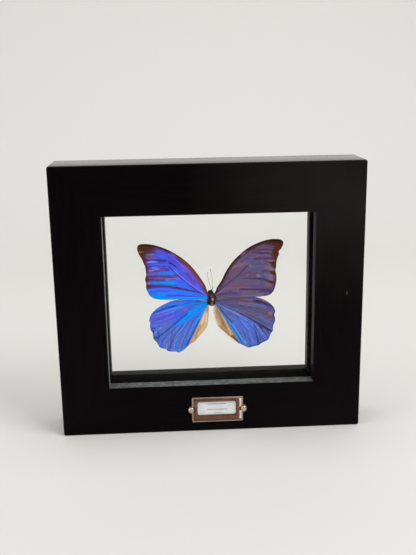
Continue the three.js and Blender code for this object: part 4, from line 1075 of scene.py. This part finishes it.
def closedCurve(points, count):
    loop = np.array(points, float)
    before, after, later = (np.roll(loop, shift, axis=0) for shift in (1, -1, -2))
    steps = np.linspace(0, 1, 24, endpoint=False)[:, None, None]
    fine = curveAt(before, loop, after, later, steps).transpose(1, 0, 2).reshape(-1, 2)
    closed = np.vstack([fine, fine[:1]])
    run = np.concatenate([[0], np.cumsum(np.linalg.norm(np.diff(closed, axis=0), axis=1))])
    wanted = np.linspace(0, run[-1], count, endpoint=False)
    return np.stack([np.interp(wanted, run, closed[:, axis]) for axis in (0, 1)], axis=1)


def distanceTo(places, points):
    nearest = np.full(len(places), 1e9)
    for start, end in zip(points, points[1:]):
        start, run = np.array(start, float), np.subtract(end, start).astype(float)
        share = np.clip((places - start) @ run / max(run @ run, 1e-9), 0, 1)
        nearest = np.minimum(nearest, np.linalg.norm(places - start - share[:, None] * run, axis=1))
    return nearest


def smooth(share):
    share = np.clip(share, 0, 1)
    return share * share * (3 - 2 * share)


def cover(colours, share, tone):
    colours += share[:, None] * (np.array(tone, float) - colours)


def brush(colours, places, wobble, strokes, palette):
    for name, width, strength, points in strokes:
        away = distanceTo(places, points) * (1 + strokeEdge["wobble"] * wobble)
        share = smooth(strokeEdge["full"] - strokeEdge["fade"] * away / width)
        cover(colours, strength * share, palette[name])


def pastFold(line, places, side):
    (startX, startZ), (endX, endZ) = line
    run = math.hypot(endX - startX, endZ - startZ)
    across = (endX - startX) * (places[:, 1] - startZ) - (endZ - startZ) * (places[:, 0] - startX)
    return -side * across / run


# rings shrink from the outline towards the root, where they close
def makeSheet(wing, spec):
    bm = bmesh.new()
    turn, share = (bm.verts.layers.float.new(label) for label in ("turn", "share"))
    ring = [bm.verts.new((x, z, 0)) for x, z in closedCurve(wing["outline"], spec["columns"])]
    edges = [bm.edges.new(pair) for pair in zip(ring, ring[1:] + ring[:1])]
    for index, v in enumerate(ring):
        v[turn], v[share] = index / len(ring), 1.0
    centre = Vector((*wing["root"], 0))
    for row in range(spec["rows"] - 1, 0, -1):
        made = bmesh.ops.extrude_edge_only(bm, edges=edges)["geom"]
        ring = [g for g in made if isinstance(g, bmesh.types.BMVert)]
        edges = [g for g in made if isinstance(g, bmesh.types.BMEdge)]
        shrink = (row / (row + 1)) ** spec["gather"]
        bmesh.ops.scale(bm, vec=(shrink, shrink, 1), space=Matrix.Translation(-centre), verts=ring)
        for v in ring:
            v[share] *= shrink
    bmesh.ops.pointmerge(bm, verts=ring, merge_co=centre)
    bmesh.ops.recalc_face_normals(bm, faces=bm.faces)
    return bm


def takeLayer(mesh, name):
    values = np.empty(len(mesh.vertices))
    mesh.attributes[name].data.foreach_get("value", values)
    mesh.attributes.remove(mesh.attributes[name])
    return values


# lines of equal flow follow the veins: out from the root, then across the outer forewing
def veinFlow(places, wing, spec):
    offset = places - np.array(wing["root"])
    out = np.maximum(offset[:, 0] * wing["side"], spec["flowStart"])
    away = np.linalg.norm(offset, axis=1)
    if "bend" in wing:
        return spec["flowScale"] * offset[:, 1] * np.maximum(1, wing["bend"] / out), away
    return np.arctan2(offset[:, 1], offset[:, 0] * wing["side"]), away


def streaks(flow, away, fineness, seed, stretch=0.05):
    return np.array([noise.noise(Vector((f * fineness, d * stretch, seed))) for f, d in zip(flow, away)])


# the dihedral, the pleats, the veins and the inner fold
def wingDepth(wing, spec, places, turns, shares, fold):
    lift = -spec["rise"] * np.abs(places[:, 0] - spec["bodyX"]) / spec["reach"]
    pleat = spec["pleat"] * shares * np.cos(2 * math.pi * wing["veins"] * turns)
    ridge = sum(np.exp(-(distanceTo(places, line) / spec["ridgeWidth"]) ** 2) for line in wing["ridges"])
    veins = spec["ridge"] * np.minimum(ridge, 1.2) * smooth(shares * 4)
    return wing["depth"] + lift + pleat - veins + spec["foldSlope"] * np.maximum(0, fold)


def upperColours(wing, spec, places, flow, away, wobble, fold):
    colours = np.tile(np.array(ink[wing["field"]], float), (len(places), 1))
    brush(colours, places, wobble, wing["strokes"], ink)
    for line in wing["ridges"]:
        vein = smooth(1 - distanceTo(places, line) / spec["veinWidth"])[:, None] * spec["veinTone"]
        colours *= 1 - vein * np.array(spec["veinTint"])
    first, second, strength = wing["shimmer"]
    shimmer = sum(share * streaks(flow, away, fineness, wing["side"] + seed)
                  for share, fineness, seed in spec["streaks"])
    gain = spec["shimmerGain"] * strength
    colours += gain * shimmer[:, None] * (np.array(ink[first], float) - ink[second])
    if "foldLine" in wing:
        inner = np.tile(np.array(ink["tan"], float), (len(places), 1))
        brush(inner, places, wobble, wing["foldStrokes"], ink)
        cover(colours, smooth(fold / spec["foldEdge"] + 0.5), inner)
    return colours


def underColours(kind, places, wobble):
    colours = np.tile(np.array(earth["base"], float), (len(places), 1))
    brush(colours, places, wobble, underMarks[kind], earth)
    for x, z, radius in underEyes[kind]:
        away = np.linalg.norm(places - (x, z), axis=1) / radius
        for edge, name in eyeRings:
            cover(colours, smooth((edge - away) * 6), earth[name])
    return colours


def makeWing(node, wing, spec, materials):
    mesh = meshFrom(makeSheet(wing, spec), node, materials)
    count = len(mesh.vertices)
    flat = np.empty(count * 3)
    mesh.vertices.foreach_get("co", flat)
    places = flat.reshape(-1, 3)[:, :2].copy()
    turns, shares = takeLayer(mesh, "turn"), takeLayer(mesh, "share")
    flow, away = veinFlow(places, wing, spec)
    wobble = streaks(flow, away, spec["wobble"], wing["side"])
    fold = pastFold(wing["foldLine"], places, wing["side"]) if "foldLine" in wing else np.zeros(count)
    depth = wingDepth(wing, spec, places, turns, shares, fold)
    placed = np.stack([places[:, 0], depth, places[:, 1]], axis=1) * mm
    mesh.vertices.foreach_set("co", placed.ravel())

    kind = node.split("_")[0]
    mirrored = places.copy()
    if wing["side"] > 0:
        mirrored[:, 0] = 2 * spec["bodyX"] - places[:, 0]
    sides = {"upperScales": upperColours(wing, spec, places, flow, away, wobble, fold),
             "underScales": underColours(kind, mirrored, wobble)}
    for name, colours in sides.items():
        values = np.ones((count, 4))
        values[:, :3] = linear(np.clip(colours, 0, 255))
        mesh.attributes.new(name, "FLOAT_COLOR", "POINT").data.foreach_set("color", values.ravel())
    across, along = spec["flowStretch"]
    layer = np.full(count, float(wing["veins"] + wing["side"]))
    drift = np.stack([flow * across, away * along, layer], axis=1)
    mesh.attributes.new("flow", "FLOAT_VECTOR", "POINT").data.foreach_set("vector", drift.ravel())
    piece = addObject(node.replace("_", ""), mesh)
    if mesh.polygons[0].normal.y > 0:
        mesh.flip_normals()
    addModifier(piece, "SOLIDIFY", thickness=spec["thickness"] * mm, offset=0,
                material_offset=1, material_offset_rim=1)
    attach(piece, "root")
    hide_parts(node)


def makeScales(name, gloss):
    material, tree, shader = newMaterial(name, **gloss["shader"])
    flow = attributeOf(tree, "flow", "Vector")
    streak = noiseOf(tree, flow, 3.0, 5.0, 0.65)
    hair = noiseOf(tree, flow, 14.0, 3.0)
    grains = cellsOf(tree, objectPlace(tree), 6500.0)
    dim, bright = (gloss["gain"] * (1 + sign * gloss["streak"]) for sign in (-1, 1))
    lift = mapRange(tree, streak, 0.3, 0.7, dim, bright)
    fibre = mapRange(tree, hair, 0.3, 0.7, 1 - gloss["fibre"], 1 + gloss["fibre"])
    inputs = {0: attributeOf(tree, name), 3: multiply(tree, lift, fibre)}
    shaded = addNode(tree, "VectorMath", inputs, operation="SCALE").outputs[0]
    connect(tree, shader, Base_Color=shaded,
            Roughness=mapRange(tree, hair, 0.3, 0.7, *gloss["roughness"]),
            Normal=bumpOf(tree, add(tree, streak, grains), 0.00006, gloss["bump"]))
    return material


upperGloss = {"gain": 1.16, "streak": 0.3, "fibre": 0.18, "roughness": (0.42, 0.56), "bump": 0.35,
              "shader": {"Specular_IOR_Level": 0.06, "Metallic": 0.3}}
underGloss = {"gain": 1.0, "streak": 0.2, "fibre": 0.15, "roughness": (0.6, 0.8), "bump": 0.4,
              "shader": {"Specular_IOR_Level": 0.2}}
scales = [makeScales("upperScales", upperGloss), makeScales("underScales", underGloss)]
for node, wing in wings.items():
    makeWing(node, wing, wingSpec, scales)
print("wings made")


# body: rings are (height, half width, half depth), patches (across, level, wide, tall, tone)

bodySpec = {
    "x": 1.9, "y": -0.3, "hairs": 3600, "hairRadius": 0.065, "hairLength": (0.7, 1.6), "batch": 150,
    "lean": 0.9, "neck": (113.6, 2.6), "headHair": (114, 3), "rootDepth": 0.93, "ends": (0.4, 0.3),
    "rings": [(104.9, 1.2, 1.4), (105.8, 2.1, 2.4), (107.6, 2.8, 3.2), (110, 3.1, 3.7),
              (112.6, 3.05, 3.8), (114.4, 2.7, 3.3), (115.3, 2.1, 2.5), (115.8, 1.9, 2.1),
              (116.3, 1.9, 2.2), (116.9, 1.5, 1.8), (117.3, 0.8, 1.0)],
    "eye": (1.5, -0.3, 116.1, 1.0),
    "palps": [((-1.2, 0.4, 116.6), (-0.4, -0.3, 118)), ((-0.3, 0.4, 116.7), (1.2, -0.3, 119.8))],
    "palpRadii": (0.42, 0.16), "palpHairs": 90,
    "tufts": 420, "tuftLength": (1.0, 2.2), "redTufts": 60, "redLength": (1.4, 2.8),
    # the first patch, the pale streak right of the middle, paints pale hair and a painted highlight on the
    # crown of the thorax
    "patches": [(0.6, 111.3, 0.75, 1.8, 1.0), (0.2, 108, 1.0, 0.9, 0.9), (-0.1, 114.4, 0.6, 1.0, 0.66),
                (2.9, 112.6, 0.8, 2, 0.46), (-2.8, 113.6, 0.5, 1.8, 0.48), (-1.6, 109.6, 0.8, 1.5, 0.44),
                (0, 106.5, 1.7, 0.5, 0.7)],
    "legs": [[(1.2, 3.2, 112.8), (2.6, 4.6, 113.6), (2.1, 4.9, 110.2), (0.9, 4.9, 107.4)],
             [(1, 3, 109.6), (2.3, 4.4, 108.6), (1.5, 4.8, 105.8), (0.7, 4.6, 103.4)]],
    "legRadii": (0.34, 0.26, 0.17, 0.1),
}
hairTones = [(0.0, (16, 8, 4)), (0.25, (52, 29, 18)), (0.45, (116, 64, 44)), (0.62, (134, 108, 78)),
             (0.8, (184, 154, 134)), (1.0, (232, 210, 190))]
antennaSpec = {
    "steps": 26, "radius": 0.12, "club": 0.14, "clubAt": 0.92, "clubHalf": 4, "tip": 0.2,
    "paths": {
        "antenna_left": [(1.9, -1.3, 117.1), (-0.3, -2, 126.4), (-1.4, -2.5, 131), (-1.2, -2.8, 133.8)],
        "antenna_right": [(2.5, -1.3, 117.1), (2.7, -2.1, 127.4), (1.6, -2.6, 133.4), (1, -2.9, 136.5)],
    },
}
# (out, along) as shares of the dab's radius and depth
glueProfile = [(0, 0), (0.34, 0), (0.42, 0.12), (0.46, 0.3), (0.54, 0.52), (0.68, 0.74), (0.85, 0.9),
               (0.98, 0.97), (1, 1), (0, 1)]


def trunkSize(z):
    heights, widths, depths = zip(*bodySpec["rings"])
    return np.interp(z, heights, widths), np.interp(z, heights, depths)


# the head leans to the left
def leanAt(z):
    start, rise = bodySpec["neck"]
    return -bodySpec["lean"] * float(smooth((z - start) / rise))


def makeHide():
    material, tree, shader = newMaterial("thoraxHide", Specular_IOR_Level=0.25, Sheen_Weight=0.2)
    skin = addNoise(tree, objectPlace(tree), 900.0, 5000.0, 0.6)
    connect(tree, shader, Base_Color=mixColour(tree, skin["Broad"], rgba((30, 20, 13)), rgba((86, 62, 46))),
            Roughness=mapRange(tree, skin["Fine"], 0.2, 0.8, 0.6, 0.9), Normal=skin["Normal"])
    return material


def makeHairShade():
    material, tree, shader = newMaterial("thoraxHair", Specular_IOR_Level=0.12)
    ramp = addNode(tree, "ValToRGB", {"Fac": attributeOf(tree, "tint", "Fac")})
    for index, (place, colour) in enumerate(hairTones):
        stop = ramp.color_ramp.elements[index] if index < 2 else ramp.color_ramp.elements.new(place)
        stop.position, stop.color = place, rgba(colour)
    clumps = addNoise(tree, objectPlace(tree), 700.0, 4000.0, 0.0)["Broad"]
    connect(tree, shader, Base_Color=ramp.outputs["Color"],
            Roughness=mapRange(tree, clumps, 0.3, 0.7, 0.45, 0.65))
    return material


def makeEyeShell():
    material, tree, shader = newMaterial("eyeShell", Roughness=0.22)
    cells = cellsOf(tree, objectPlace(tree), 9000.0)
    connect(tree, shader, Base_Color=mixColour(tree, cells, rgba((18, 12, 8)), rgba((52, 34, 22))),
            Normal=bumpOf(tree, cells, 0.00004, 0.5))
    return material


def addLimb(bm, start, end, startRadius, endRadius, sides=10):
    start, end = Vector(start), Vector(end)
    run = end - start
    turn = run.to_track_quat("Z", "Y").to_matrix().to_4x4()
    made = bmesh.ops.create_cone(bm, cap_ends=True, segments=sides, radius1=startRadius, radius2=endRadius,
                                 depth=run.length, matrix=Matrix.Translation((start + end) / 2) @ turn)
    return made["verts"]


def addBall(bm, centre, radius, around=10, along=8):
    return bmesh.ops.create_uvsphere(bm, u_segments=around, v_segments=along, radius=radius,
                                     matrix=Matrix.Translation(centre))["verts"]


def makeThorax(spec, materials):
    bm = bmesh.new()
    below, above = spec["ends"]
    low, high = spec["rings"][0][0] - below, spec["rings"][-1][0] + above
    for v in addBall(bm, (0, 0, 0), 1, 40, 36):
        share = math.acos(max(-1, min(1, v.co.z))) / math.pi
        z = high + (low - high) * share
        halfWidth, halfDepth = trunkSize(z)
        ring = math.hypot(v.co.x, v.co.y)
        wave = 1 + 0.04 * noise.noise(Vector((v.co.x * 2, v.co.y * 2, z * 0.8)))
        reach = min(1, ring * 2.4) * wave / max(ring, 1e-5)
        v.co = (spec["x"] + leanAt(z) + v.co.x * halfWidth * reach, spec["y"] + v.co.y * halfDepth * reach, z)
    eyeX, eyeY, eyeZ, eyeRadius = spec["eye"]
    radii = spec["legRadii"]
    for side in (-1, 1):
        centre = (spec["x"] + leanAt(eyeZ) + side * eyeX, spec["y"] + eyeY, eyeZ)
        for face in {f for v in addBall(bm, centre, eyeRadius, 24, 16) for f in v.link_faces}:
            face.material_index = 1
        for path in spec["legs"]:
            points = [(spec["x"] + side * x, spec["y"] + y, z) for x, y, z in path]
            for index in range(3):
                addLimb(bm, points[index], points[index + 1], radii[index], radii[index + 1])
                addBall(bm, points[index], radii[index] * 1.08)
    middle = Vector((spec["x"], spec["y"], 0))
    for brow, tip in spec["palps"]:
        addLimb(bm, middle + Vector(brow), middle + Vector(tip), *spec["palpRadii"])
    bmesh.ops.recalc_face_normals(bm, faces=bm.faces)
    makePiece("thoraxAndHead", bm, materials, ("thorax_and_head",), 60)


def addHair(bm, radius, root, aim, sweep, length, shade):
    middle = root + aim * length * 0.55
    end = middle + (aim * 0.8 + sweep * 0.4).normalized() * length * 0.5
    verts = addLimb(bm, root, middle, radius, radius * 0.75, 3)
    verts += addLimb(bm, middle - aim * 0.02, end, radius * 0.75, 0, 3)
    tint = bm.verts.layers.float["tint"]
    for v in verts:
        v[tint] = shade


# each hair: its root, aim, sweep, length and shade (0 dark, 0.5 reddish brown, 1 pale)
def coatHairs(spec):
    centre = Vector((spec["x"], spec["y"], 0))
    low, high = spec["rings"][0][0], spec["rings"][-1][0]
    headLow, headRise = spec["headHair"]
    for _ in range(spec["hairs"]):
        z = random.uniform(low, high)
        angle = random.uniform(0, 2 * math.pi)
        halfWidth, halfDepth = trunkSize(z)
        out = Vector((math.cos(angle) * halfWidth, math.sin(angle) * halfDepth, 0))
        head = float(smooth((z - headLow) / headRise))
        outward = Vector((out.x / halfWidth ** 2, out.y / halfDepth ** 2, 0)).normalized()
        sweep = Vector((random.gauss(0, 0.4), random.gauss(0, 0.4), -1.0 + 1.9 * head))
        aim = (outward * random.uniform(0.3, 0.8) + sweep * random.uniform(0.5, 1.1)).normalized()
        root = centre + out * spec["rootDepth"] + Vector((leanAt(z), 0, z))
        clump = 1.2 * max(0, noise.noise(root * 1.1) - 0.1) * (1 - head)
        shade = max(0.0, random.gauss(0.06, 0.06)) + clump
        for across, level, wide, tall, tone in spec["patches"]:
            near = math.exp(-((out.x - across) / wide) ** 2 - ((z - level) / tall) ** 2) * (out.y < 0.5)
            shade = max(shade, tone * min(1, 1.8 * near) * random.uniform(0.85, 1.1))
        length = random.uniform(*spec["hairLength"]) * (0.7 if z < 106.5 else 1) * (1 - 0.35 * head)
        if shade > 0.6:  # the pale hairs lie on top
            root += 0.25 * outward
        yield root, aim, sweep, length, min(1, shade)
    for index in range(spec["tufts"]):  # over the roots of the wings
        side = 1 if index % 2 else -1
        z = random.uniform(106, 115.4)
        halfWidth, halfDepth = trunkSize(z)
        root = centre + Vector((side * halfWidth * 0.82, random.uniform(-2.2, 0.6), z))
        aim = Vector((side, random.gauss(-0.15, 0.2), random.gauss(-0.2, 0.45))).normalized()
        shade = min(1, abs(random.gauss(0.2 + 0.12 * side, 0.14)))
        yield root, aim, Vector((0, 0.5, -0.5)), random.uniform(*spec["tuftLength"]), shade
    for _ in range(spec["redTufts"]):  # over the root of the right hindwing
        root = centre + Vector((2.5, random.uniform(-2.4, -1), random.gauss(111, 0.6)))
        aim = Vector((1, random.gauss(-0.1, 0.15), random.gauss(-0.05, 0.15))).normalized()
        yield root, aim, Vector((0.5, 0.6, 0)), random.uniform(*spec["redLength"]), random.gauss(0.46, 0.05)
    for brow, tip in spec["palps"]:
        for _ in range(spec["palpHairs"]):
            root = centre + Vector(brow).lerp(Vector(tip), random.random())
            aim = (Vector(tip) - Vector(brow)).normalized()
            spread = Vector([random.gauss(0, 0.4) for _ in range(3)])
            yield root, (aim + spread).normalized(), aim, 0.7, abs(random.gauss(0.08, 0.1))


# the hairs are made in batches, since one growing mesh takes far longer
def makeFur(spec, material):
    random.seed(11)
    hairs = list(coatHairs(spec))
    coat = bmesh.new()
    for first in range(0, len(hairs), spec["batch"]):
        bm = bmesh.new()
        bm.verts.layers.float.new("tint")
        for hair in hairs[first:first + spec["batch"]]:
            addHair(bm, spec["hairRadius"], *hair)
        tuft = meshFrom(bm, "tuft")
        coat.from_mesh(tuft)
        bpy.data.meshes.remove(tuft)
    makePiece("thoraxHairs", coat, [material], (), 80)


def makeAntennae(spec, material):
    steps = spec["steps"]
    swell = [max(0, 1 - abs(index - steps * spec["clubAt"]) / spec["clubHalf"]) for index in range(steps + 1)]
    sizes = [spec["radius"] + spec["club"] * share for share in swell]
    for node, path in spec["paths"].items():
        bm = bmesh.new()
        points = [Vector(point) for point in path]
        middle = []
        for step in range(steps + 1):
            where = step / steps * (len(points) - 1)
            index = min(int(where), len(points) - 2)
            middle.append(curveAt(points[max(index - 1, 0)], points[index], points[index + 1],
                                  points[min(index + 2, len(points) - 1)], where - index))
        for index in range(steps):
            addLimb(bm, middle[index], middle[index + 1], sizes[index] * 1.1, sizes[index + 1], 8)
        addBall(bm, middle[-1], spec["tip"])
        bmesh.ops.recalc_face_normals(bm, faces=bm.faces)
        makePiece(node.replace("_", ""), bm, [material], (node,), 60)


def makeHorn():
    material, tree, shader = newMaterial("antennaHorn", Specular_IOR_Level=0.3)
    rings = noiseOf(tree, objectPlace(tree, (1, 1, 14)), 160.0)
    connect(tree, shader, Base_Color=mixColour(tree, rings, rgba((84, 62, 50)), rgba((140, 112, 92))),
            Roughness=mapRange(tree, rings, 0.3, 0.7, 0.4, 0.6))
    return material


def makeClearGlue():
    material, tree, shader = newMaterial("clearGlue", Base_Color=(0.96, 0.94, 0.9, 1), IOR=1.45,
                                         Transmission_Weight=0.9)
    ripples = addNoise(tree, objectPlace(tree), 500.0, 1500.0, 0.3)
    connect(tree, shader, Roughness=mapRange(tree, ripples["Broad"], 0.3, 0.7, 0.05, 0.2),
            Normal=ripples["Normal"])
    return material


def makeGlue(profile, material):
    low, high = boxMm("glue_dab")
    radius, deep = (high.x - low.x) / 2, high.y - low.y
    bm = spinAround([(out * radius, along * deep, 0) for out, along in profile], (0, 1, 0), 32)
    place = Matrix.Translation(((low.x + high.x) / 2, low.y, (low.z + high.z) / 2))
    piece = makePiece("glueDab", bm, [material], ("glue_dab",), 50, place)
    piece.visible_shadow = False


makeThorax(bodySpec, [makeHide(), makeEyeShell()])
makeFur(bodySpec, makeHairShade())
makeAntennae(antennaSpec, makeHorn())
makeGlue(glueProfile, makeClearGlue())
print("body made")


# stage and light, in metres: each softbox has (place, target, size, power)

softboxes = {
    "keySoftbox": ((0.9, -0.7, 1.3), (0, 0, 0.1), (0.9, 0.9), 14),
    "fillSoftbox": ((-1.2, -0.6, 0.9), (0, 0, 0.1), (1.0, 1.0), 6),
    "wallSoftbox": ((0.0, 0.2, 1.9), (0, 0.9, 0.4), (1.6, 0.8), 10),
}
stageSpec = {"half": 3, "bend": 0.5, "bendAt": 0.6, "top": 3.0, "floor": (0.72, 0.7, 0.67, 1),
             "sky": (0.95, 0.97, 1.0, 1), "skyStrength": 0.5}


def makeStage(spec):
    material, _, _ = newMaterial("paleFloor", Base_Color=spec["floor"], Roughness=0.7,
                                 Specular_IOR_Level=0.2)
    half, bend, bendAt = spec["half"], spec["bend"], spec["bendAt"]
    profile = [(-half, 0)]
    for turn in (math.radians(6 * step) for step in range(16)):
        profile.append((bendAt + bend * math.sin(turn), bend - bend * math.cos(turn)))
    profile.append((bendAt + bend, spec["top"]))
    bm = bmesh.new()
    _, edges = joinUp(bm, [(-half, y, z) for y, z in profile])
    made = bmesh.ops.extrude_edge_only(bm, edges=edges)["geom"]
    far = [v for v in made if isinstance(v, bmesh.types.BMVert)]
    bmesh.ops.translate(bm, vec=(2 * half, 0, 0), verts=far)
    bmesh.ops.recalc_face_normals(bm, faces=bm.faces)
    floor = addObject("floor", meshFrom(bm, "floor", [material]))


def addSoftbox(name, place, target, size, power):
    data = bpy.data.lights.new(name, "AREA")
    data.shape = "RECTANGLE"
    data.size, data.size_y = size
    data.energy = power
    light = addObject(name, data)
    light.location = place
    light.rotation_euler = (Vector(target) - Vector(place)).to_track_quat("-Z", "Y").to_euler()


makeStage(stageSpec)
for name, softbox in softboxes.items():
    addSoftbox(name, *softbox)
world = bpy.data.worlds.new("studio")
world.use_nodes = True
background = world.node_tree.nodes["Background"]
background.inputs["Color"].default_value = stageSpec["sky"]
background.inputs["Strength"].default_value = stageSpec["skyStrength"]
scene = bpy.context.scene
scene.world = world
scene.view_settings.view_transform = "Standard"
scene.view_settings.look = "None"
print("stage lit")
